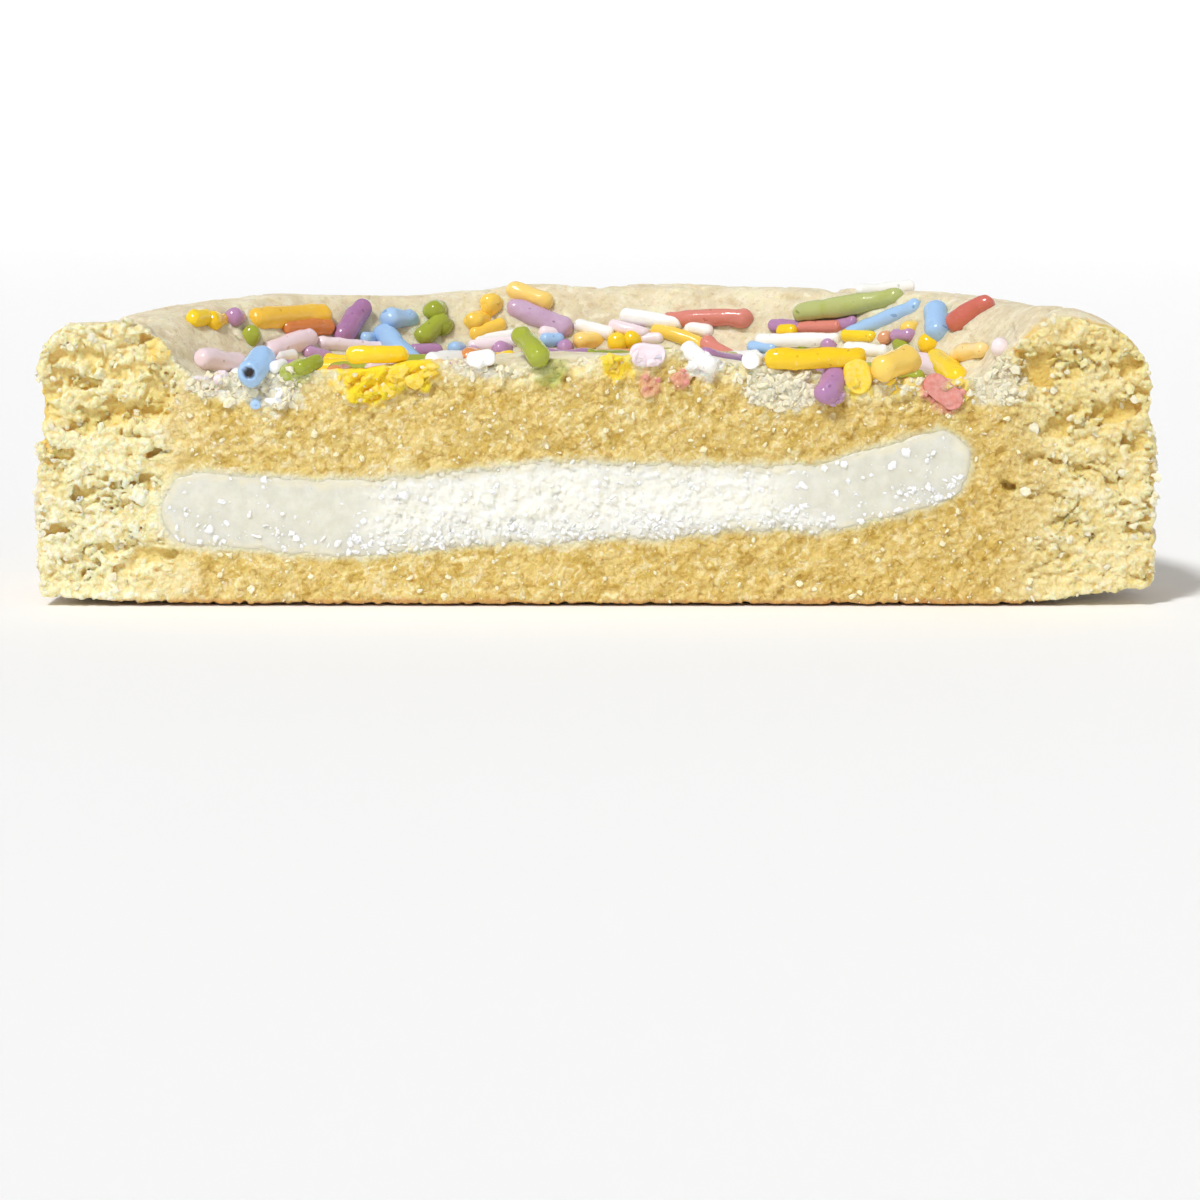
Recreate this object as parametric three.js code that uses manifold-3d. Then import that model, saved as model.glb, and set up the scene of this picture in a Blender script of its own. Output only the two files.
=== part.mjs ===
// Half of a thick round sugar cookie: dished top inside a raised rim, flat base, and a puck of
// cream filling that runs through the dough and shows on the cut face, which looks along -Y.
import * as THREE from "three";
import { mergeVertices } from "three/addons/utils/BufferGeometryUtils.js";
import Module from "manifold-3d";

const wasm = await Module();
wasm.setup();

// Dough, mm. Left and right are the two ends of the cut face.
const COOKIE_RADIUS = 45;
const CENTRE_HEIGHT = 19.8; // gentle dome in the middle of the top
const MOAT_HEIGHT = 17.3; // lowest ring of the top, just inside the rim
const DOME_FLAT = 0.12; // share of the radius where the dome starts to fall
const DOME_FOOT = 0.66; // and where it reaches the moat
const RIM = { left: 23.0, right: 24.0 }; // crest height
const RIM_FOOT = { left: 0.73, right: 0.67 }; // where the rim starts to rise, share of the radius
const RIM_CREST = { left: 0.86, right: 0.81 };
const SHOULDER = { left: 2.8, right: 5.0 }; // rounding over the edge of the top
const BASE_ROUNDING = 1.4; // small radius where the wall meets the base
const BASE_LIFT = { left: 0.6, right: 1.1 }; // the base's edge curls up this much
const BASE_FLAT = 0.72; // share of the radius that lies flat on the table
const RIM_DIPS = [
  { at: 20, width: 14, depth: 0.65 }, // degrees round from the right end of the cut
  { at: 165, width: 14, depth: 0.9 },
  { at: 250, width: 25, depth: 0.4 },
];
const OUTLINE_WAVES = [
  { lobes: 2, height: 0.3 }, // the dough spread unevenly; each wave is zero on the cut plane
  { lobes: 3, height: 0.3 },
  { lobes: 7, height: 0.2 },
];

// Filling, mm.
const FILLING_RADIUS = 32.6;
const FILLING_THICKNESS = 6.2;
const FILLING_CENTRE_X = -2.5; // it sits nearer the left end
const FILLING_HEIGHT = 8.3; // of its middle, above the base
const FILLING_SLOPE = 0.02;
const FILLING_SAG = { at: -20, width: 9, depth: 0.9 };
const FILLING_RISE = { from: 17, to: 30, height: 2.4 };
const GAP = 0.3; // clearance between filling and dough

const DOUGH_SEGMENTS = 104;
const TOP_RINGS = 26;
const FILLING_SEGMENTS = 80;
const PUCK_RINGS = 9;
const ARC_STEPS = 5;

const mix = (a, b, t) => a + (b - a) * t;
const smooth = (from, to, value) => THREE.MathUtils.smoothstep(value, from, to);
const bell = (value, at, width) => Math.exp(-(((value - at) / width) ** 2));

// 0 at the left end of the cut face, 1 at the right end.
const rightness = (angle) => (1 + Math.cos(angle)) / 2;
const sideValue = (pair, angle) => mix(pair.left, pair.right, rightness(angle));

function topHeight(radius, angle) {
  const share = radius / COOKIE_RADIUS;
  const degrees = THREE.MathUtils.radToDeg(angle);
  let rim = sideValue(RIM, angle);
  for (const dip of RIM_DIPS) rim -= dip.depth * bell(degrees, dip.at, dip.width);
  const dome = (CENTRE_HEIGHT - MOAT_HEIGHT) * (1 - smooth(DOME_FLAT, DOME_FOOT, share));
  const foot = sideValue(RIM_FOOT, angle);
  const rise = (rim - MOAT_HEIGHT) * smooth(foot, sideValue(RIM_CREST, angle), share);
  const rounding = sideValue(SHOULDER, angle);
  const over = Math.max(0, (radius - COOKIE_RADIUS + rounding) / rounding);
  const fall = rounding * (1 - Math.sqrt(Math.max(0, 1 - over * over)));
  return MOAT_HEIGHT + dome + rise - fall;
}

function outlineStretch(angle) {
  let stretch = 0;
  for (const wave of OUTLINE_WAVES) stretch += wave.height * Math.sin(wave.lobes * angle);
  return 1 + stretch / COOKIE_RADIUS;
}

// Turns a lathe into one welded solid, with every vertex moved by shape(radius, angle, z).
function latheSolid(profile, segments, shape) {
  const lathe = new THREE.LatheGeometry(profile, segments);
  lathe.rotateX(Math.PI / 2);
  lathe.deleteAttribute("uv");
  lathe.deleteAttribute("normal");
  const points = lathe.attributes.position;
  for (let i = 0; i < points.count; i++) {
    const x = points.getX(i);
    const y = points.getY(i);
    const angle = (Math.atan2(y, x) + 2 * Math.PI) % (2 * Math.PI);
    points.setXYZ(i, ...shape(Math.hypot(x, y), angle, points.getZ(i)));
  }
  const welded = mergeVertices(lathe, 1e-4);
  const solid = new wasm.Manifold(
    new wasm.Mesh({
      numProp: 3,
      vertProperties: new Float32Array(welded.attributes.position.array),
      triVerts: new Uint32Array(welded.index.array),
    }),
  );
  return solid;
}

function doughProfile() {
  const profile = [new THREE.Vector2(0, 0)];
  for (const share of [0.35, BASE_FLAT, 0.82, 0.9]) {
    profile.push(new THREE.Vector2(share * COOKIE_RADIUS, 0));
  }
  for (let i = 0; i <= ARC_STEPS; i++) {
    const turn = (i / ARC_STEPS) * (Math.PI / 2);
    profile.push(
      new THREE.Vector2(
        COOKIE_RADIUS - BASE_ROUNDING * (1 - Math.sin(turn)),
        BASE_ROUNDING * (1 - Math.cos(turn)),
      ),
    );
  }
  for (const height of [5, 9, 13, 16]) {
    profile.push(new THREE.Vector2(COOKIE_RADIUS, height));
  }
  // The top rings sit closer together towards the shoulder, where it curves most.
  for (let i = 1; i <= TOP_RINGS; i++) {
    const inward = i / TOP_RINGS;
    const radius = COOKIE_RADIUS * Math.cos((inward * Math.PI) / 2);
    profile.push(new THREE.Vector2(i === TOP_RINGS ? 0 : radius, CENTRE_HEIGHT));
  }
  return profile;
}

function shapeDough(radius, angle, z) {
  const stretched = radius * outlineStretch(angle);
  const share = radius / COOKIE_RADIUS;
  const lift = sideValue(BASE_LIFT, angle) * smooth(BASE_FLAT, 1, share) * Math.max(0, 1 - z / 10);
  const onTop = z === Math.fround(CENTRE_HEIGHT);
  const height = onTop ? topHeight(radius, angle) : z + lift;
  return [stretched * Math.cos(angle), stretched * Math.sin(angle), height];
}

function puckProfile(radius, thickness) {
  const half = thickness / 2;
  const flat = radius - half;
  const profile = [];
  for (let i = 0; i < PUCK_RINGS; i++) {
    profile.push(new THREE.Vector2((flat * i) / PUCK_RINGS, -half));
  }
  for (let i = 0; i <= 2 * ARC_STEPS; i++) {
    const turn = (i / (2 * ARC_STEPS)) * Math.PI - Math.PI / 2;
    profile.push(new THREE.Vector2(flat + half * Math.cos(turn), half * Math.sin(turn)));
  }
  for (let i = PUCK_RINGS - 1; i >= 0; i--) {
    profile.push(new THREE.Vector2((flat * i) / PUCK_RINGS, half));
  }
  return profile;
}

function shapeFilling(radius, angle, z) {
  const x = radius * Math.cos(angle) + FILLING_CENTRE_X;
  const sag = FILLING_SAG.depth * bell(x, FILLING_SAG.at, FILLING_SAG.width);
  const rise = FILLING_RISE.height * smooth(FILLING_RISE.from, FILLING_RISE.to, x);
  return [x, radius * Math.sin(angle), z + FILLING_HEIGHT + FILLING_SLOPE * x - sag + rise];
}

function fillingSolid(grow) {
  const profile = puckProfile(FILLING_RADIUS + grow, FILLING_THICKNESS + 2 * grow);
  return latheSolid(profile, FILLING_SEGMENTS, shapeFilling);
}

// Everything in front of the cut plane y = 0 is cut away.
const size = 4 * COOKIE_RADIUS;
const knife = wasm.Manifold.cube([size, size, size], true).translate([0, -size / 2, 0]);

const dough = latheSolid(doughProfile(), DOUGH_SEGMENTS, shapeDough)
  .subtract(knife)
  .subtract(fillingSolid(GAP));
const filling = fillingSolid(0).subtract(knife);

function asMesh(name, solid, material) {
  const { vertProperties, triVerts } = solid.getMesh();
  const geometry = new THREE.BufferGeometry();
  geometry.setAttribute("position", new THREE.BufferAttribute(vertProperties, 3));
  geometry.setIndex(new THREE.BufferAttribute(triVerts, 1));
  geometry.computeVertexNormals();
  const mesh = new THREE.Mesh(geometry, material);
  mesh.name = name;
  return mesh;
}

const bakedDough = new THREE.MeshStandardMaterial({
  color: "#e3cc8c",
  roughness: 0.85,
  metalness: 0,
});
const creamFilling = new THREE.MeshStandardMaterial({
  color: "#f2f1e6",
  roughness: 0.45,
  metalness: 0,
});

const group = new THREE.Group();
group.name = "sprinkle_cookie_half";
group.add(asMesh("dough", dough, bakedDough), asMesh("filling", filling, creamFilling));

// Row frame: origin at the middle of the box's floor.
const box = new THREE.Box3().setFromObject(group);
const middle = box.getCenter(new THREE.Vector3());
for (const mesh of group.children) mesh.geometry.translate(-middle.x, -middle.y, -box.min.z);

export default group;
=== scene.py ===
"""Half of a thick stuffed sugar cookie with sprinkles, cut face to the front.

Lengths inside the script are in millimetres: x runs along the cut face, y back from it and z up
from the table. They become metres in the row frame when a mesh is made.
"""

import math
from typing import NamedTuple

import bpy
import numpy as np
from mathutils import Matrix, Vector


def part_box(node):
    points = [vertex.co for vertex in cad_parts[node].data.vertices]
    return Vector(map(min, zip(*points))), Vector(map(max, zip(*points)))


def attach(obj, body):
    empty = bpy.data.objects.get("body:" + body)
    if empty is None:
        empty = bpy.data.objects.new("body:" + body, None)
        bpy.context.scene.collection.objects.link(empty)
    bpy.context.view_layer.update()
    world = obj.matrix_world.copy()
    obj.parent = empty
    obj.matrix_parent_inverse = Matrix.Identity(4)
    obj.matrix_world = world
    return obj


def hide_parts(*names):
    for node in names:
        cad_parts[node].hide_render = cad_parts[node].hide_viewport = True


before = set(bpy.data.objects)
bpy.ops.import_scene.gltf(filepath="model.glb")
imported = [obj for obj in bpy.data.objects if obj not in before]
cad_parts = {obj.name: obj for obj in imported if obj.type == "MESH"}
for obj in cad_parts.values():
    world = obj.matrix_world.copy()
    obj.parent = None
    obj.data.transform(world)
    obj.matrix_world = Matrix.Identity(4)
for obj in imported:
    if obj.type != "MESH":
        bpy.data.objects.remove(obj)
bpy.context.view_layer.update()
DOUGH_LOW, DOUGH_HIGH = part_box("dough")
CUT_PLANE_Y = DOUGH_LOW.y
MIDDLE_X = (DOUGH_LOW.x + DOUGH_HIGH.x) / 2

bl_info = {
    "name": "Sprinkle Cookie Half",
    "version": (1, 0, 0),
    "blender": (4, 5, 0),
    "location": "View3D > Sidebar > Cookie",
    "description": "Builds half of a cream-filled sugar cookie with sprinkles",
    "category": "Add Mesh",
}

MM = 0.001


def linear(hex_colour):
    """A hex sRGB colour as linear red, green and blue."""
    channels = [int(hex_colour[i : i + 2], 16) / 255 for i in (1, 3, 5)]
    return tuple(c / 12.92 if c <= 0.04045 else ((c + 0.055) / 1.055) ** 2.4 for c in channels)


def length_property(name, description, millimetres):
    return bpy.props.FloatProperty(
        name=name,
        description=description,
        default=millimetres * MM,
        min=0.0,
        subtype="DISTANCE",
        unit="LENGTH",
    )


def colour_property(name, description, hex_colour):
    return bpy.props.FloatVectorProperty(
        name=name,
        description=description,
        default=linear(hex_colour),
        size=3,
        min=0.0,
        max=1.0,
        subtype="COLOR",
    )


# ---------------------------------------------------------------- settings


class CookieDoughSettings(bpy.types.PropertyGroup):
    radius: length_property("Radius", "Radius of the whole cookie", 45.0)
    centre_height: length_property("Centre height", "Top of the gentle dome in the middle", 19.8)
    moat_height: length_property("Moat height", "Lowest ring, just inside the rim", 17.2)
    rim_left: length_property("Left rim", "Rim height at the left end of the cut", 23.0)
    rim_right: length_property("Right rim", "Rim height at the right end of the cut", 23.9)
    shoulder_left: length_property("Left shoulder", "Rounding over the left edge", 3.7)
    shoulder_right: length_property("Right shoulder", "Rounding over the right edge", 7.3)
    crumb: colour_property("Crumb", "Dry pale crumb near the rim", "#fdf3c8")
    moist: colour_property("Moist crumb", "Dense golden crumb round the filling", "#ecd48c")
    # painted shade: the deeper gold laid on the deepest parts of the crumb holes
    hollow: colour_property("Hollow", "Inside of the crumb holes", "#e8c25a")
    skin: colour_property("Skin", "Baked top and side", "#ece2c2")
    toasted: colour_property("Toasted", "Browner base and wall", "#cf9c58")
    fat: colour_property("Pale bloom", "Pale crumb just under the sprinkles", "#f7efd6")


class CookieFillingSettings(bpy.types.PropertyGroup):
    radius: length_property("Radius", "Radius of the filling puck", 32.6)
    thickness: length_property("Thickness", "Thickness of the filling puck", 6.2)
    height: length_property("Height", "Height of its middle above the base", 8.3)
    cream: colour_property("Cream", "Granular white middle", "#f8f7ee")
    melted: colour_property("Melted cream", "Smoother ends that soaked and set", "#dcdacb")


class CookieSprinkleSettings(bpy.types.PropertyGroup):
    thickness: length_property("Thickness", "Thickness of a sprinkle", 1.65)
    length: length_property("Length", "Length of a whole sprinkle", 7.4)
    seed: bpy.props.IntProperty(name="Seed", description="Arrangement of the rest", default=11)
    yellow: colour_property("Yellow", "Yellow sprinkles", "#ffd92a")
    amber: colour_property("Amber", "Amber sprinkles", "#ffd55c")
    tangerine: colour_property("Tangerine", "Tangerine sprinkles", "#e29658")
    coral: colour_property("Coral", "Coral red sprinkles", "#de8a7c")
    violet: colour_property("Violet", "Violet sprinkles", "#c093bc")
    blue: colour_property("Blue", "Sky blue sprinkles", "#a8ccf3")
    green: colour_property("Green", "Leaf green sprinkles", "#a9b33c")
    pink: colour_property("Pink", "Pale pink sprinkles", "#f9e6ed")
    white: colour_property("White", "White sprinkles", "#fffefa")


class CookieStageSettings(bpy.types.PropertyGroup):
    floor: colour_property("Floor", "Plain pale floor", "#fdfdfd")
    distance: length_property("Camera distance", "From the cut face", 300.0)
    height: length_property("Camera height", "Above the table", 41.0)


# ---------------------------------------------------------------- maths


def smooth(low, high, value):
    """0 up to low and 1 from high on, with an eased slope between; low may be the larger one."""
    share = np.clip((value - low) / (high - low), 0.0, 1.0)
    return share * share * (3.0 - 2.0 * share)


def bell(value, middle, width):
    """1 at the middle, falling away to 0 about two widths from it."""
    return np.exp(-(((value - middle) / width) ** 2))


def mix(first, second, share):
    return first + (second - first) * share


def rounded_and(first, second, radius):
    """Two distances joined as the shape inside both, with its edge rounded."""
    sharp = np.minimum(np.maximum(first, second), -radius)
    return sharp + np.hypot(np.maximum(first + radius, 0), np.maximum(second + radius, 0))


TABLE_SIDE = 64
NOISE_TABLE = np.random.default_rng(5).uniform(-1, 1, TABLE_SIDE**3).astype(np.float32)
GRAIN_TABLE = np.random.default_rng(6).uniform(-1, 1, (TABLE_SIDE**3, 4)).astype(np.float32)
NOISE_TURN = np.array([[0.80, 0.36, 0.48], [-0.60, 0.48, 0.64], [0.0, -0.80, 0.60]])


def noise(points, cell, seed=0):
    """Smooth random values from -1 to 1 with features about cell mm across, one size or three."""
    spots = (points / np.asarray(cell, float)) @ NOISE_TURN + seed * 7.313 + 100.0
    low = np.floor(spots)
    t = (spots - low).astype(np.float32)
    t = t * t * (3 - 2 * t)
    first = low.astype(np.int64) & (TABLE_SIDE - 1)
    second = (first + 1) & (TABLE_SIDE - 1)
    planes = (first[:, 0] * TABLE_SIDE**2, second[:, 0] * TABLE_SIDE**2)
    rows = (first[:, 1] * TABLE_SIDE, second[:, 1] * TABLE_SIDE)
    ends = (first[:, 2], second[:, 2])

    def along(plane, row):
        start = NOISE_TABLE[planes[plane] + rows[row] + ends[0]]
        return start + t[:, 2] * (NOISE_TABLE[planes[plane] + rows[row] + ends[1]] - start)

    near = along(0, 0)
    near += t[:, 1] * (along(0, 1) - near)
    far = along(1, 0)
    far += t[:, 1] * (along(1, 1) - far)
    return near + t[:, 0] * (far - near)


class Layer(NamedTuple):
    """One layer of noise: how far it goes each way, and its cell in mm and seed as noise has them."""

    height: float
    cell: object
    seed: int


def layered(points, *layers):
    return sum(layer.height * noise(points, layer.cell, layer.seed) for layer in layers)


def bent(points, amount, cell, seeds):
    """How far to move each point along the three axes, up to about that amount, to bend a pattern."""
    return amount * np.stack([noise(points, cell, seed) for seed in seeds], 1)


class Grains(NamedTuple):
    """What grain_cells finds at each point."""

    gap: np.ndarray  # 0 on the seam between two grains, up to about 1 in the middle of one
    random: np.ndarray  # a number from -1 to 1 that is the same all over one grain
    offset: np.ndarray  # the way from the grain's middle, in grain sizes


def grain_cells(points, cell, seed):
    """Packs space with irregular grains about cell mm across, one size or three."""
    spots = (points / np.asarray(cell, float) + seed * 5.17 + 100.0).astype(np.float32)
    low = np.floor(spots).astype(np.int64)
    mask = TABLE_SIDE - 1
    nearest = np.full(len(spots), 9.0, np.float32)
    second = nearest.copy()
    random = np.zeros(len(spots), np.float32)
    offset = np.zeros(spots.shape, np.float32)
    for step in np.ndindex(3, 3, 3):
        corner = low + np.array(step) - 1
        key = ((corner[:, 0] & mask) * TABLE_SIDE + (corner[:, 1] & mask)) * TABLE_SIDE
        key += corner[:, 2] & mask
        away = spots - corner - 0.5 - 0.42 * GRAIN_TABLE[key, :3]
        distance = np.sqrt((away**2).sum(axis=1))
        closer = distance < nearest
        second = np.where(closer, nearest, np.minimum(second, distance))
        nearest = np.where(closer, distance, nearest)
        random = np.where(closer, GRAIN_TABLE[key, 3], random)
        offset = np.where(closer[:, None], away, offset)
    return Grains(second - nearest, random, offset)


# ---------------------------------------------------------------- the photograph's view


PHOTO_SIDE = 1200
PIXEL = 0.0806  # mm on the cut face for one pixel of the photograph
PHOTO_CENTRE_X = 596.5  # pixel column of the cookie's middle
PHOTO_FLOOR_Y = 604.0  # pixel row of the table at the cut face
SENSOR = 36.0
RAY_STEPS = 900
WALL_MARGIN = 1.5  # mm in from the wall, the furthest out that a sprinkle's middle can lie
FAR_OFF = 1e3


class PhotoView:
    """The camera of the photograph, in cookie millimetres."""

    def __init__(self, stage):
        middle = PHOTO_SIDE / 2
        self.target = np.array(
            [(middle - PHOTO_CENTRE_X) * PIXEL, 0.0, (PHOTO_FLOOR_Y - middle) * PIXEL]
        )
        self.eye = np.array([self.target[0], -stage.distance / MM, stage.height / MM])
        self.ahead = self.target - self.eye
        reach = np.linalg.norm(self.ahead)
        self.ahead /= reach
        self.right = np.array([1.0, 0.0, 0.0])
        self.up = np.cross(self.right, self.ahead)
        self.lens = SENSOR * reach / (PHOTO_SIDE * PIXEL)

    def ray(self, column, row):
        """The way that light came to the pixel, scaled so that one step goes 1 mm back."""
        across = (column - PHOTO_SIDE / 2) / PHOTO_SIDE * SENSOR
        above = (PHOTO_SIDE / 2 - row) / PHOTO_SIDE * SENSOR
        way = self.ahead * self.lens + self.right * across + self.up * above
        return way / way[1]

    def on_top(self, shape, column, row, lift=0.0):
        """The point lift mm above the cookie's top, or on its cut face, that the pixel shows."""
        way = self.ray(column, row)
        depth = np.linspace(0.0, shape.radius, RAY_STEPS)
        points = self.eye + (depth - self.eye[1])[:, None] * way
        gap = points[:, 2] - shape.top(points[:, 0], points[:, 1]) - lift
        inside = np.hypot(points[:, 0], points[:, 1]) < shape.radius - WALL_MARGIN
        below = np.flatnonzero((gap < 0) & inside)
        if len(below):
            return points[below[0]]
        gap[~inside] = FAR_OFF
        nearest = int(np.argmin(gap))
        spot = points[nearest].copy()
        spot[2] -= gap[nearest]
        return spot

    def pixels(self, points):
        """Columns and rows of the photograph where the points show."""
        away = points - self.eye
        scale = self.lens / SENSOR * PHOTO_SIDE / (away @ self.ahead)
        middle = PHOTO_SIDE / 2
        return np.stack([middle + away @ self.right * scale, middle - away @ self.up * scale], 1)

    def on_cut(self, column, row):
        """The point of the cut plane that the pixel shows, as x and z."""
        spot = self.eye - self.eye[1] * self.ray(column, row)
        return spot[0], spot[2]


# ---------------------------------------------------------------- the cookie's shape


class Rise(NamedTuple):
    """A local rise of the top, or a dip where its height is below zero."""

    at: float
    width: float
    height: float


# Where the knife went through, in mm along the cut.
CUT_EDGE_RISES = (
    Rise(-34.6, 2.4, 1.9),
    Rise(-29.5, 3.6, 1.0),
    Rise(-24.5, 4.5, 1.4),
    Rise(-15.5, 4.0, 0.5),
    Rise(-6.6, 2.6, -0.7),
    Rise(6.2, 3.0, 0.9),
    Rise(16.6, 2.2, 0.4),
    Rise(26.5, 3.5, 1.0),
    Rise(31.8, 2.2, 1.2),
    Rise(35.0, 3.0, -0.7),
    Rise(40.3, 2.2, -0.8),
)
CUT_EDGE_REACH = 6.0  # mm back from the cut where these have faded out


# Round the rim, in degrees from the right end of the cut.
RIM_RISES = (
    Rise(20, 14, -0.65),
    Rise(165, 14, -0.9),
    Rise(60, 9, -0.15),
    Rise(80, 7, 0.3),
    Rise(97, 6, 0.25),
    Rise(112, 6, -0.2),
    Rise(131, 8, 0.2),
)
KNIFE_SLANT = math.radians(38)  # the knife's marks run up to the right at this angle
KNIFE_TURN = np.array(
    [
        [math.cos(KNIFE_SLANT), 0, -math.sin(KNIFE_SLANT)],
        [0, 1, 0],
        [math.sin(KNIFE_SLANT), 0, math.cos(KNIFE_SLANT)],
    ]
)


class CookieShape:
    """The cookie's measurements in mm and the surfaces that they give."""

    # Shares of the radius; a pair is for the left and the right end of the cut.
    dome = (0.12, 0.66)  # where the middle starts to fall and where it reaches the moat
    rim_foot = (0.715, 0.67)
    rim_crest = (0.85, 0.81)
    base_flat = 0.72
    # Millimetres.
    base_lift = (0.6, 1.1)  # the base's edge curls up this much
    spread = ((2, 0.3), (3, 0.3), (7, 0.2))  # lobes of the outline and how far each goes out
    shrink = 0.15
    filling_x = -2.5
    filling_sag = (0.9, -20, 9)  # depth, middle and width of the dip at its left
    filling_rise = (2.4, 17, 30)  # height, start and end of the rise at its right
    filling_slope = 0.02
    filling_thin = ((0.55, 13, 5), (-0.25, -4, 5))  # mm off each face, middle and width
    filling_wobble = (Layer(0.20, 3.2, 41), Layer(0.14, 1.2, 42))
    filling_ripple = Layer(0.10, 0.55, 43)

    def __init__(self, scene):
        dough, filling = scene.cookie_dough, scene.cookie_filling
        self.radius = dough.radius / MM
        self.centre = dough.centre_height / MM
        self.moat = dough.moat_height / MM
        self.rim = (dough.rim_left / MM, dough.rim_right / MM)
        self.shoulder = (dough.shoulder_left / MM, dough.shoulder_right / MM)
        self.filling_radius = filling.radius / MM
        self.filling_thickness = filling.thickness / MM
        self.filling_height = filling.height / MM

    def side(self, pair, angle):
        """Goes over from the left end's value to the right end's round the cookie."""
        return mix(pair[0], pair[1], (1 + np.cos(angle)) / 2)

    def top(self, x, y):
        """Height of the top before its edge is rounded over."""
        share = np.hypot(x, y) / self.radius
        angle = np.arctan2(y, x)
        degrees = np.degrees(angle)
        rim = self.side(self.rim, angle)
        for rise in RIM_RISES:
            rim = rim + rise.height * bell(degrees, rise.at, rise.width)
        height = self.moat + (self.centre - self.moat) * (1 - smooth(*self.dome, share))
        foot = self.side(self.rim_foot, angle)
        crest = self.side(self.rim_crest, angle)
        height = height + (rim - self.moat) * smooth(0, 1, (share - foot) / (crest - foot))
        for rise in CUT_EDGE_RISES:
            local = rise.height * bell(x, rise.at, rise.width)
            height = height + local * (1 - smooth(0, CUT_EDGE_REACH, y))
        return height

    def base(self, x, y):
        """Height of the underside, which is flat but for its edge."""
        share = np.hypot(x, y) / self.radius
        lift = self.side(self.base_lift, np.arctan2(y, x))
        return lift * smooth(self.base_flat, 1.0, share)

    def outline(self, angle):
        """Radius of the wall, uneven because the dough spread unevenly."""
        waves = sum(height * np.sin(lobes * angle) for lobes, height in self.spread)
        return self.radius + waves - self.shrink

    def filling_middle(self, x):
        """Height of the filling's middle along the cut."""
        depth, middle, width = self.filling_sag
        height, start, end = self.filling_rise
        level = self.filling_height + self.filling_slope * x
        return level - depth * bell(x, middle, width) + height * smooth(start, end, x)

    def filling_distance(self, points):
        """How far a point is outside the filling; its outline wobbles by a few tenths."""
        x, y, z = points.T
        half = self.filling_thickness / 2
        reach = np.hypot(x - self.filling_x, y) - (self.filling_radius - half)
        height = z - self.filling_middle(x)
        thin = sum(amount * bell(x, middle, width) for amount, middle, width in self.filling_thin)
        flat = np.abs(height) - half + thin
        round_end = np.hypot(np.maximum(reach, 0), height) - half
        distance = np.where(reach > 0, round_end, flat)
        distance += layered(points, *self.filling_wobble)
        return distance + layered(points, self.filling_ripple)


# ---------------------------------------------------------------- meshes from fields


CORNERS = [(a, b, c) for a in (0, 1) for b in (0, 1) for c in (0, 1)]
EDGES = [
    (i, j)
    for i in range(8)
    for j in range(i + 1, 8)
    if sum(abs(p - q) for p, q in zip(CORNERS[i], CORNERS[j])) == 1
]


def surface_of(field, axes):
    """Vertices in mm and four-sided faces where the field passes zero; inside is below zero."""
    inside = field < 0
    shape = [n - 1 for n in field.shape]
    count = np.zeros(shape, np.int8)
    for a, b, c in CORNERS:
        count += inside[a : a + shape[0], b : b + shape[1], c : c + shape[2]]
    mixed = (count > 0) & (count < 8)
    cells = np.argwhere(mixed)
    number = np.full(mixed.shape, -1, np.int64)
    number[mixed] = np.arange(len(cells))
    values = np.stack([field[tuple((cells + corner).T)] for corner in CORNERS], 1)
    total = np.zeros((len(cells), 3))
    hits = np.zeros(len(cells))
    for i, j in EDGES:
        start, step = np.array(CORNERS[i], float), np.subtract(CORNERS[j], CORNERS[i])
        crossing = (values[:, i] < 0) != (values[:, j] < 0)
        low, high = values[crossing, i], values[crossing, j]
        total[crossing] += start + (low / (low - high))[:, None] * step
        hits[crossing] += 1
    places = cells + total / hits[:, None]
    verts = np.stack(
        [np.interp(places[:, k], np.arange(len(axes[k])), axes[k]) for k in range(3)], 1
    )
    faces = []
    for axis in range(3):
        across, along = (axis + 1) % 3, (axis + 2) % 3
        low = np.take(inside, range(field.shape[axis] - 1), axis)
        high = np.take(inside, range(1, field.shape[axis]), axis)
        change = low != high
        for other in (across, along):
            edge = [slice(None)] * 3
            edge[other] = 0
            change[tuple(edge)] = False
            edge[other] = -1
            change[tuple(edge)] = False
        spots = np.argwhere(change)
        facing_up = low[tuple(spots.T)]
        quad = []
        for a, b in ((1, 1), (0, 1), (0, 0), (1, 0)):
            cell = spots.copy()
            cell[:, across] -= a
            cell[:, along] -= b
            quad.append(number[tuple(cell.T)])
        quad = np.stack(quad, 1)
        faces += [quad[facing_up], quad[~facing_up][:, ::-1]]
    return verts, np.concatenate(faces)


def largest_part(verts, faces):
    """Leaves out crumbs that float free and holes that nothing opens into."""
    label = np.arange(len(verts))
    while True:
        lowest = label[faces].min(axis=1)
        changed = label.copy()
        np.minimum.at(changed, faces.ravel(), np.repeat(lowest, 4))
        changed = changed[changed]
        if (changed == label).all():
            break
        label = changed
    names, sizes = np.unique(label, return_counts=True)
    keep = label == names[np.argmax(sizes)]
    faces = faces[keep[faces[:, 0]]]
    renumber = np.cumsum(keep) - 1
    return verts[keep], renumber[faces]


ORIGIN = np.array([MIDDLE_X, CUT_PLANE_Y, 0.0])  # the script's zero in the row frame


def to_world(points):
    return points * MM + ORIGIN


def from_world(points):
    return (points - ORIGIN) / MM


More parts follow.
